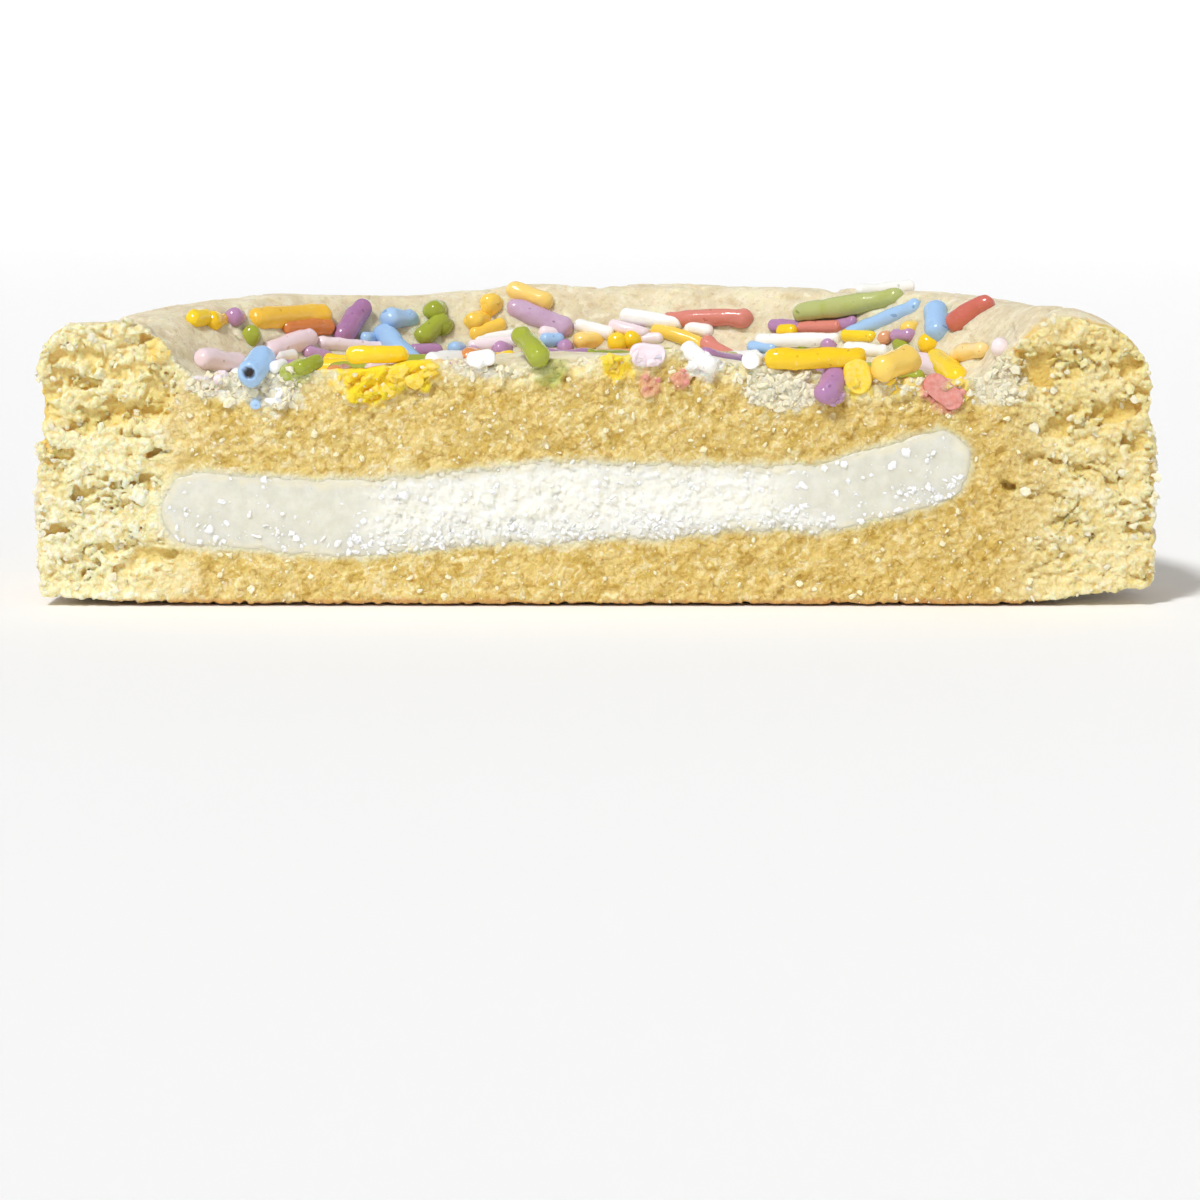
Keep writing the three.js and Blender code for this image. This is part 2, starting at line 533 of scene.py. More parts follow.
def make_piece(name, verts, faces, material, rounded=True):
    """A piece of the cookie from points in mm and faces that all have as many sides; rounded says
    which faces are shaded smooth."""
    sides = faces.shape[1]
    mesh = bpy.data.meshes.new(name)
    mesh.vertices.add(len(verts))
    mesh.vertices.foreach_set("co", to_world(verts).astype(np.float32).ravel())
    mesh.loops.add(faces.size)
    mesh.loops.foreach_set("vertex_index", faces.astype(np.int32).ravel())
    mesh.polygons.add(len(faces))
    mesh.polygons.foreach_set("loop_start", np.arange(0, faces.size, sides, dtype=np.int32))
    mesh.polygons.foreach_set("use_smooth", np.full(len(faces), rounded))
    mesh.update(calc_edges=True)
    mesh.materials.append(material)
    piece = bpy.data.objects.new(name, mesh)
    bpy.context.scene.collection.objects.link(piece)
    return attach(piece, "root")


def thin_out(piece, triangles):
    """Merges the least needed vertices until the piece has at most that many triangles."""
    loops, polygons = len(piece.data.loops), len(piece.data.polygons)
    now = loops - 2 * polygons
    if now <= triangles:
        return
    decimate = piece.modifiers.new("Thin out", "DECIMATE")
    decimate.ratio = triangles / now
    decimate.use_collapse_triangulate = True
    graph = bpy.context.evaluated_depsgraph_get()
    thinner = bpy.data.meshes.new_from_object(piece.evaluated_get(graph))
    piece.modifiers.remove(decimate)
    old, piece.data = piece.data, thinner
    name = old.name
    bpy.data.meshes.remove(old)
    thinner.name = name


def piece_points(piece):
    """The piece's vertices in the script's millimetres."""
    verts = np.empty(len(piece.data.vertices) * 3, np.float32)
    piece.data.vertices.foreach_get("co", verts)
    return from_world(verts.reshape(-1, 3).astype(float))


def store(piece, name, values):
    """Writes one number for each vertex, or one colour with its share."""
    kind = "FLOAT" if values.ndim == 1 else "FLOAT_COLOR"
    layer = piece.data.attributes.new(name, kind, "POINT")
    field = "value" if values.ndim == 1 else "color"
    layer.data.foreach_set(field, values.astype(np.float32).ravel())


SPREADING = 1.12  # each step of the coarse part against the one before it


def graded(low, fine_end, high, fine, coarse):
    """Positions that are fine apart at first and spread out to coarse after fine_end."""
    spots = list(np.arange(low, fine_end, fine))
    step = fine
    while spots[-1] < high:
        step = min(coarse, step * SPREADING)
        spots.append(spots[-1] + step)
    return np.array(spots)


# ---------------------------------------------------------------- crumb holes


class Hole(NamedTuple):
    """A hole in the cut crumb by its box in the photograph's pixels."""

    left: float
    top: float
    right: float
    bottom: float
    depth: float  # how deep it looks against the others, from about 1 to 2.5
    slope: float = 0.0  # degrees, up to the right


# Read from the photograph; these are the ones large enough to recognise.
NAMED_HOLES = (
    Hole(68, 408, 112, 432, 2.0, 12),
    Hole(96, 402, 138, 426, 2.6, 8),
    Hole(128, 402, 162, 420, 2.4, 10),
    Hole(146, 368, 170, 398, 1.3),
    Hole(53, 346, 76, 360, 1.2, 25),
    Hole(86, 352, 101, 378, 1.2),
    Hole(110, 370, 122, 377, 1.0),
    Hole(128, 362, 146, 374, 0.8),
    Hole(60, 455, 78, 462, 1.0),
    Hole(44, 467, 67, 475, 1.0),
    Hole(76, 486, 106, 497, 1.2, 4),
    Hole(108, 498, 138, 507, 1.2, -6),
    Hole(74, 510, 94, 517, 1.0),
    Hole(44, 524, 78, 536, 1.6),
    Hole(132, 525, 152, 534, 1.1),
    Hole(94, 541, 128, 550, 1.2),
    Hole(140, 550, 172, 559, 1.2),
    Hole(60, 556, 93, 563, 1.0),
    Hole(1024, 350, 1060, 384, 1.8),
    Hole(1056, 358, 1078, 376, 1.5),
    Hole(1081, 343, 1099, 365, 1.3),
    Hole(1116, 358, 1136, 368, 1.0),
    Hole(1092, 403, 1136, 420, 2.0, 8),
    Hole(1062, 404, 1079, 426, 1.6),
    Hole(1132, 386, 1154, 402, 1.2),
    Hole(1126, 432, 1156, 450, 1.7),
    Hole(1122, 526, 1144, 535, 1.2),
    Hole(1059, 515, 1074, 525, 1.1),
    Hole(1052, 550, 1088, 564, 1.2),
    Hole(1020, 455, 1045, 466, 1.0),
    Hole(1072, 462, 1086, 478, 1.1),
    Hole(1098, 478, 1122, 488, 1.1),
    Hole(1030, 490, 1052, 500, 0.9),
    Hole(1112, 502, 1140, 511, 1.2),
    Hole(1084, 528, 1106, 538, 1.0),
    Hole(28, 386, 55, 400, 1.6),
    Hole(30, 400, 48, 420, 1.2),
    Hole(30, 500, 44, 532, 1.2),
    Hole(1142, 400, 1166, 420, 1.5),
    Hole(1148, 458, 1168, 490, 1.2),
    Hole(1146, 508, 1168, 528, 1.4),
    Hole(1143, 562, 1166, 592, 1.2),
)
HOLE_DEPTH = 0.42  # mm for a depth of 1
HOLE_SPREAD = 1.1  # a hole's width against its box, to make up for its pointed ends
LOOSE_HOLES = 24
LOOSE_REGIONS = ((-45.5, -32.5), (31.5, 45.5))  # mm along the cut, left and right
HOLE_MARGIN = 0.4


class Slit(NamedTuple):
    """A hole with pointed ends, in mm, tilted so that it rises to the right."""

    x: float
    y: float
    z: float
    wide: float
    deep: float
    tall: float
    tilt: float


def crumb_holes(view, rng):
    """Every hole of the cut crumb: the named ones and small loose ones between them."""
    holes = []
    for hole in NAMED_HOLES:
        x, z = view.on_cut((hole.left + hole.right) / 2, (hole.top + hole.bottom) / 2)
        wide = (hole.right - hole.left) * PIXEL / 2 * HOLE_SPREAD
        tall = (hole.bottom - hole.top) * PIXEL / 2
        depth = hole.depth * HOLE_DEPTH
        holes.append(Slit(x, 0.0, z, wide, depth, tall, math.radians(hole.slope)))
    for _ in range(LOOSE_HOLES):
        x = rng.uniform(*LOOSE_REGIONS[0 if rng.random() < 0.5 else 1])
        z = rng.uniform(0.8, 23.0)
        wide = rng.uniform(0.35, 1.0)
        tall = wide * rng.uniform(0.25, 0.5)
        tilt = rng.normal(-0.05, 0.3)
        holes.append(Slit(x, rng.uniform(-0.1, 0.1), z, wide, rng.uniform(0.4, 0.8), tall, tilt))
    return holes


def carve_holes(field, axes, holes):
    """Takes the slits out of the solid that the field describes."""
    xs, ys, zs = axes
    for number, hole in enumerate(holes):
        rise = hole.wide * abs(math.sin(hole.tilt))
        sizes = (hole.wide, hole.deep, hole.tall + rise)
        i, j, k = (
            slice(*np.searchsorted(axis, (middle - size - HOLE_MARGIN, middle + size + HOLE_MARGIN)))
            for axis, middle, size in zip(axes, (hole.x, hole.y, hole.z), sizes)
        )
        grid = np.meshgrid(xs[i] - hole.x, ys[j] - hole.y, zs[k] - hole.z, indexing="ij")
        spots = np.stack([g.ravel() for g in grid], 1)
        rough = 0.5 * min(hole.tall + 0.3, 1.0)
        x, y, z = (
            g + rough * (noise(spots + number, 0.9, n) + 0.5 * noise(spots, 0.4, n)).reshape(g.shape)
            for n, g in enumerate(grid)
        )
        along = x * math.cos(hole.tilt) + z * math.sin(hole.tilt)
        above = z * math.cos(hole.tilt) - x * math.sin(hole.tilt)
        pointed = (np.abs(along) / hole.wide) ** 1.4
        size = np.sqrt(pointed + (y / hole.deep) ** 2 + (above / hole.tall) ** 2)
        inside = (1 - size) * min(hole.wide, hole.deep, hole.tall)
        field[i, j, k] = np.maximum(field[i, j, k], inside)


# ---------------------------------------------------------------- smears


class Patch(NamedTuple):
    """A round patch of the cut face by its box in photograph pixels."""

    left: float
    top: float
    right: float
    bottom: float

    def share(self, view, points):
        """1 in the middle of the patch and 0 outside it, with a ragged edge."""
        left, low = view.on_cut(self.left, self.bottom)
        right, high = view.on_cut(self.right, self.top)
        across = (points[:, 0] - (left + right) / 2) / (right - left) * 2
        above = (points[:, 2] - (low + high) / 2) / (high - low) * 2
        ragged = layered(points, Layer(0.4, 0.9, 76), Layer(0.3, 0.4, 77))
        return smooth(1.25, 0.75, np.hypot(across, above) + ragged)


# Pale crumbly places just under the sprinkles.
BLOOMS = (
    Patch(188, 374, 268, 402),
    Patch(252, 366, 300, 412),
    Patch(448, 354, 530, 378),
    Patch(560, 346, 604, 364),
    Patch(746, 366, 818, 408),
    Patch(880, 374, 924, 396),
    Patch(962, 352, 1022, 404),
)


class Smear(NamedTuple):
    """Sprinkle colour that the knife dragged over the cut, as a box in photograph pixels."""

    left: float
    top: float
    right: float
    bottom: float
    colour: str
    strength: float


SMEARS = (
    Smear(332, 352, 402, 404, "yellow", 1.0),
    Smear(384, 350, 446, 388, "yellow", 1.0),
    Smear(284, 364, 314, 388, "green", 0.55),
    Smear(534, 350, 566, 386, "green", 0.6),
    Smear(602, 342, 634, 378, "yellow", 0.95),
    Smear(632, 346, 664, 366, "pink", 0.8),
    Smear(640, 370, 658, 400, "coral", 0.6),
    Smear(672, 369, 692, 387, "coral", 0.75),
    Smear(684, 346, 720, 378, "white", 0.8),
    Smear(816, 380, 844, 404, "violet", 0.9),
    Smear(842, 360, 874, 394, "yellow", 1.0),
    Smear(884, 376, 922, 398, "yellow", 0.6),
    Smear(922, 376, 966, 410, "coral", 0.75),
    Smear(950, 374, 972, 400, "yellow", 0.7),
    Smear(244, 390, 264, 408, "blue", 0.5),
    Smear(264, 386, 286, 408, "white", 0.8),
    Smear(198, 370, 226, 384, "pink", 0.8),
    Smear(146, 340, 172, 364, "amber", 0.6),
    Smear(470, 350, 496, 366, "white", 0.9),
    Smear(430, 352, 470, 366, "violet", 0.35),
)


# ---------------------------------------------------------------- dough


FINE_STEP = 0.16
DOUGH_TRIANGLES = 360000
DOUGH_SPAN = (-47.2, 47.3)  # mm along the cut that the lattice covers
DOUGH_DEPTH = (-1.6, 2.6, 47.6)  # mm back: its front, the end of its fine part and its back
DOUGH_HEIGHT = (-1.4, 26.6)
DOUGH_COARSE_STEP = 0.75
CHANNEL_SPAN = (-38, 33)  # mm along the cut where the filling's channel can be
CHANNEL_HEIGHT = (2, 16)
CHANNEL_INSIDE = 0.45  # mm that the channel is smaller than the filling, so that the two meet
BASE_ROUNDING = 0.6
CUT_ROUNDING = 0.2
DEEPEST = 1.7  # mm that the relief can go in from the plain shape
PROUDEST = 0.75  # mm that it can stand out


def shell_distance(shape, axes):
    """Distance from the cookie's plain outer skin, over the lattice; inside is below zero."""
    xs, ys, zs = axes
    x, y = np.meshgrid(xs, ys, indexing="ij")
    top = shape.top(x, y)
    slope = np.hypot(np.gradient(top, xs, axis=0), np.gradient(top, ys, axis=1))
    steepness = np.sqrt(1 + np.minimum(slope, 3) ** 2)[:, :, None]
    angle = np.arctan2(y, x)
    above = (zs[None, None, :] - top[:, :, None]) / steepness
    outward = (np.hypot(x, y) - shape.outline(angle))[:, :, None]
    belly = 0.35 * bell(zs, 8, 5) - 0.5 * bell(zs, 16, 1.6)  # bulges low, pinched under the rim
    outward = outward - belly[None, None, :]
    rounding = shape.side(shape.shoulder, angle)[:, :, None]
    outer = rounded_and(above, outward, rounding)
    below = shape.base(x, y)[:, :, None] - zs[None, None, :]
    return rounded_and(outer, below, BASE_ROUNDING)


def crumb_share(points):
    """1 in the dry lacy crumb near the wall, 0 in the dense moist crumb, at the cut face."""
    x, y, z = points.T
    wobble = layered(points, Layer(2.2, (5, 5, 4), 61), Layer(0.9, 1.6, 62))
    left = smooth(-30.5, -37.0, x + wobble - 0.9 * smooth(14, 20, z))
    right = smooth(31.0, 37.5, x + wobble + 2.0 * smooth(15, 20, z))
    return np.maximum(left, right)


def loose_crumbs(points, cell, seed):
    """Height from 0 to 1 of rounded crumbs about cell mm across that don't quite touch."""
    grains = grain_cells(points, cell, seed)
    away = np.linalg.norm(grains.offset, axis=1) / (0.60 + 0.22 * grains.random)
    return np.sqrt(np.maximum(1 - away**2, 0)) * (0.8 + 0.2 * grains.random)


def flake_share(points):
    """1 where the dry crumb broke into flakes, mostly high up, and 0 where it tore in layers."""
    x, y, z = points.T
    high = z + 1.8 * noise(points, 3.0, 53) + 2.0 * smooth(25, 34, x)
    return mix(0.25, 1.0, smooth(13.0, 17.0, high))


def tears(points, warp):
    """1 in the middle of a tear and 0 on whole crumb; tears run along the layers and taper off."""
    room = noise(points, (3.2, 4.0, 1.8), 51)
    width = 0.05 + 0.22 * smooth(-0.1, 0.7, room)
    line = np.abs(noise(warp, (1.7, 3.0, 0.75), 52))
    open_here = smooth(-0.3, 0.15, room) * smooth(0.8, 2.6, points[:, 2])
    return smooth(1.0, 0.0, line / width) * open_here


def cut_relief(points, shape):
    """How far the cut face is set back, in mm: flaky and torn near the wall, smeared inside."""
    under = shape.top(points[:, 0], points[:, 1]) - points[:, 2]
    coarse = smooth(3.4, 1.2, under + 0.9 * noise(points, 2.2, 19))
    fine_warp = bent(points, 0.16, 0.35, (7, 8, 9))
    warp = points + fine_warp + bent(points, 0.30, 0.9, (1, 2, 3))
    big = 1 - loose_crumbs(warp, (1.2, 2.4, 0.9), 11)
    small = 1 - loose_crumbs(warp, (0.68, 1.3, 0.48), 12)
    tiny = 1 - loose_crumbs(points + fine_warp, (0.40, 0.9, 0.34), 13)
    ragged = noise(warp, 0.42, 17)
    flaky = flake_share(points)
    hollows = smooth(0.0, 0.7, noise(warp, (2.2, 3.0, 1.4), 54))
    layers = 0.12 * noise(warp, (2.4, 3.0, 0.9), 55)
    lacy = layers + mix(0.48, 0.36, flaky) * tears(points, warp) + 0.26 * flaky * hollows
    lacy += mix(0.05, 0.26, flaky) * big + mix(0.24, 0.36, flaky) * small
    lacy += 0.16 * tiny + 0.10 * ragged - 0.30
    slant = points @ KNIFE_TURN
    smeared = layered(slant, Layer(0.10, (2.4, 2.0, 1.2), 14), Layer(0.11, (0.9, 0.9, 0.45), 15))
    dense = smeared + 0.16 * small + 0.12 * tiny + 0.10 * ragged - 0.14
    dense += 0.30 * coarse * big
    relief = mix(dense, lacy, crumb_share(points))
    return relief * smooth(0.1, 0.8, shape.filling_distance(points))


SMEAR_MARGIN = 12  # photograph pixels round a smear's box
SMEAR_FILM = 0.16  # mm that its paste stands out from the cut
SMEAR_RIDGE = 0.46  # mm more on a ridge


def smear_relief(points, view):
    """How far the dragged sprinkle paste stands proud of the cut, in ridges along the drag."""
    slant = points @ KNIFE_TURN
    proud = np.zeros(len(points))
    for smear in SMEARS:
        left, low = view.on_cut(smear.left - SMEAR_MARGIN, smear.bottom + SMEAR_MARGIN)
        right, high = view.on_cut(smear.right + SMEAR_MARGIN, smear.top - SMEAR_MARGIN)
        inside = (points[:, 0] > left) & (points[:, 0] < right)
        inside &= (points[:, 2] > low) & (points[:, 2] < high)
        ridges = smooth(0.45, 1.0, 1 - np.abs(noise(slant[inside], (2.2, 1.5, 0.55), 56)))
        share = Patch(*smear[:4]).share(view, points[inside]) * smear.strength
        proud[inside] = np.maximum(proud[inside], share * (SMEAR_FILM + SMEAR_RIDGE * ridges))
    return proud


def skin_relief(points, shape):
    """How far the baked skin is set back, in mm: swells, a wrinkled rim and a craggy wall."""
    x, y, z = points.T
    reach = np.hypot(x, y)
    swell = layered(points, Layer(0.28, 11, 21), Layer(0.12, 4, 22))
    swell = swell * (0.35 + 0.65 * smooth(0, 8, y))
    on_rim = smooth(0.62, 0.8, reach / shape.radius)
    folds = 1 - np.abs(noise(points, (4.2, 4.2, 2.4), 23))
    wrinkle = on_rim * 0.30 * smooth(0.86, 1.0, folds)
    craze = 0.14 * smooth(0.9, 1.0, 1 - np.abs(noise(points, 1.9, 24)))
    wall = smooth(0.93, 0.985, reach / shape.radius) * smooth(21.5, 17, z) * smooth(0.5, 2, z)
    ledges = layered(points, Layer(0.34, (3.4, 3.4, 1.1), 25), Layer(0.16, (1.3, 1.3, 0.7), 26))
    splits = 0.5 * smooth(0.8, 1.0, 1 - np.abs(noise(points, (6, 6, 2.2), 27)))
    fine = 0.035 * noise(points, 0.8, 28)
    return swell + wrinkle + craze * (0.4 + 0.6 * on_rim) + wall * (ledges + splits) + fine


CUT_FADE = (0.9, 2.2)  # mm behind the cut plane where its torn look gives way to the skin's


def dough_relief(points, depth, shape, view):
    """Relief at points that are depth mm outside the plain skin, so below zero inside it."""
    relief = skin_relief(points, shape)
    near = points[:, 1] < CUT_FADE[1]
    share = 1 - smooth(*CUT_FADE, points[near, 1])
    share = share * smooth(0.35, -0.1, depth[near] + relief[near])
    cut = cut_relief(points[near], shape) - smear_relief(points[near], view)
    relief[near] = mix(relief[near], cut, share)
    return relief


def build_dough(scene, material):
    """The whole half of dough, with its relief, its crumb holes and the filling's channel."""
    shape, view = CookieShape(scene), PhotoView(scene.cookie_stage)
    axes = (
        np.arange(*DOUGH_SPAN, FINE_STEP),
        graded(*DOUGH_DEPTH, FINE_STEP, DOUGH_COARSE_STEP),
        np.arange(*DOUGH_HEIGHT, FINE_STEP),
    )
    xs, ys, zs = axes
    field = shell_distance(shape, axes).astype(np.float32)
    depth = field.copy()
    field = rounded_and(field, np.broadcast_to(-ys[None, :, None], field.shape), CUT_ROUNDING)
    carve_holes(field, axes, crumb_holes(view, np.random.default_rng(3)))

    close = (field > -DEEPEST) & (field < PROUDEST)
    spots = np.argwhere(close)
    points = np.stack([axes[k][spots[:, k]] for k in range(3)], 1)
    field[close] += dough_relief(points, depth[close], shape, view)

    x_range = np.searchsorted(xs, CHANNEL_SPAN)
    z_range = np.searchsorted(zs, CHANNEL_HEIGHT)
    block = np.ix_(range(*x_range), range(len(ys)), range(*z_range))
    grid = np.meshgrid(xs[slice(*x_range)], ys, zs[slice(*z_range)], indexing="ij")
    points = np.stack([g.ravel() for g in grid], 1)
    channel = -(shape.filling_distance(points) + CHANNEL_INSIDE).reshape(grid[0].shape)
    field[block] = np.maximum(field[block], channel)

    verts, faces = largest_part(*surface_of(field, axes))
    verts[:, 2] = np.maximum(verts[:, 2], 0.0)
    piece = make_piece("Dough", verts, faces, material)
    thin_out(piece, DOUGH_TRIANGLES)
    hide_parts("dough")
    paint_dough(piece, scene, shape, view)
    return piece


def paint_dough(piece, scene, shape, view):
    """Stores what the dough's material needs to know at each vertex."""
    points = piece_points(piece)
    x, y, z = points.T
    reach = np.hypot(x, y) / shape.radius
    near_cut = 1 - smooth(1.2, 2.4, y)
    crumb = crumb_share(points)
    below_top = shape.top(x, y) - z
    edge = np.minimum(below_top, (1 - reach) * shape.radius)
    skin = 1 - near_cut * smooth(-0.1, 0.35, edge + 0.25 * noise(points, 0.9, 71))
    skin = np.maximum(skin, smooth(0.5, 1.6, y) * smooth(0.5, 0.2, edge))
    store(piece, "skin", skin)
    store(piece, "moist", (1 - crumb) * smooth(0.6, 2.2, below_top + 0.6 * noise(points, 2, 72)))
    base = smooth(0.5, 0.12, z + 0.12 * noise(points, (3, 3, 1), 74))
    browning = 0.14 + 0.3 * smooth(13, 1, z + layered(points, Layer(4, 7, 75)))
    wall = smooth(0.8, 1.0, reach) * browning
    store(piece, "toast", np.maximum(base, wall * skin * smooth(1.5, 4.0, y)))
    bloom = np.max([patch.share(view, points) for patch in BLOOMS], axis=0)
    bloom = np.maximum(bloom, 0.55 * smooth(1.0, 0.3, below_top) * smooth(0.9, 0.72, reach))
    store(piece, "bloom", bloom * (1 - skin))
    closeness = smooth(0.55, -0.25, shape.filling_distance(points) + 0.3 * noise(points, 0.5, 78))
    store(piece, "creamy", closeness * (1 - skin))

    colours = scene.cookie_sprinkles
    stain = np.zeros((len(points), 4))
    for smear in SMEARS:
        amount = smear.strength * Patch(*smear[:4]).share(view, points) * (1 - smooth(0.6, 1.4, y))
        colour = np.array(getattr(colours, smear.colour))
        stain[:, :3] = mix(stain[:, :3], colour, np.maximum(amount, 1e-6)[:, None])
        stain[:, 3] = np.maximum(stain[:, 3], amount)
    shown = stain[:, 3] > 0.02
    stain[shown, :3] /= np.maximum(stain[shown, 3:], 0.05)
    store(piece, "stain", np.clip(stain, 0, 1))


# ---------------------------------------------------------------- filling


FILLING_STEP = 0.17
FILLING_COARSE_STEP = 0.9
FILLING_SPAN = (-37.2, 32.4)  # mm along the cut that its lattice covers
FILLING_DEPTH = (-1.0, 2.2, 34.5)  # mm back: its front, the end of its fine part and its back
FILLING_HEIGHT = (2.6, 15.6)
FILLING_ROUNDING = 0.4
FILLING_TRIANGLES = 90000
FILLING_PROUD = 0.10  # mm that the soft cream stands out from the cut


def granular_share(points):
    """1 in the coarse white middle of the filling, 0 in its smoother melted ends."""
    x, y, z = points.T
    wobble = layered(points, Layer(4, 6, 81), Layer(1.5, 1.8, 82))
    lower = 2.5 * smooth(8.2, 5.5, z)
    return smooth(-19, -12, x + wobble + lower) * smooth(19, 12, x + wobble - 2.5 * lower)


def filling_relief(points):
    """How far the cream's cut face is set back: grains in the middle, drag marks at the ends."""
    near_cut = 1 - smooth(1.0, 2.5, points[:, 1])
    grainy = granular_share(points)
    warp = points + bent(points, 0.15, 0.4, (4, 5, 6))
    grains = grain_cells(warp, (0.55, 1.0, 0.5), 83)
    coarse = 0.10 * grains.random + 0.16 * smooth(0.3, 0.0, grains.gap) - 0.05
    coarse += 0.12 * noise(warp, (1.1, 0.9, 0.9), 84) + 0.06 * noise(points, 0.3, 85)
    drag = layered(points, Layer(0.05, (0.7, 1.0, 7), 86), Layer(0.03, (0.35, 1, 4), 87))
    pits = 0.10 * smooth(0.62, 0.85, noise(points, 0.55, 88))
    relief = mix(drag + pits + 0.02 * noise(points, 0.4, 89), coarse, grainy)
    return near_cut * relief


def build_filling(scene, material):
    """The cream, which fills its channel in the dough from the cut to the back."""
    shape = CookieShape(scene)
    axes = (
        np.arange(*FILLING_SPAN, FILLING_STEP),
        graded(*FILLING_DEPTH, FILLING_STEP, FILLING_COARSE_STEP),
        np.arange(*FILLING_HEIGHT, FILLING_STEP),
    )
    grid = np.meshgrid(*axes, indexing="ij")
    points = np.stack([g.ravel() for g in grid], 1)
    outside = shape.filling_distance(points)
    field = rounded_and(outside, -points[:, 1] - FILLING_PROUD, FILLING_ROUNDING)
    close = np.abs(field) < 1.0
    field[close] += filling_relief(points[close])
    verts, faces = largest_part(*surface_of(field.reshape(grid[0].shape), axes))
    piece = make_piece("Filling", verts, faces, material)
    thin_out(piece, FILLING_TRIANGLES)
    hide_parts("filling")
    points = piece_points(piece)
    store(piece, "grainy", granular_share(points))
    edge = -shape.filling_distance(points)
    store(piece, "edge", smooth(1.1, 0.1, edge + 0.3 * noise(points, 0.6, 79)))
    return piece


# ---------------------------------------------------------------- sprinkles


class Rod(NamedTuple):
    """A sprinkle by the ends of its middle line and its thickness, in photograph pixels."""

    kind: str
    x0: float
    y0: float
    x1: float
    y1: float
    thick: float
    taper: float = 1.0  # thickness of its second end as a share of the first
    sag: float = 0.0  # pixels that its middle hangs below a straight line
    sliced: bool = False  # the knife went along it, so it lies on the cut plane
    ends: tuple = ()  # mm behind the cut plane of its two ends, for one that hangs over the cut
    hollow: tuple = ()  # middle of the hole that shows in its end
    tint: float = 0.5  # 0 is a deep shade of its colour and 1 a pale one
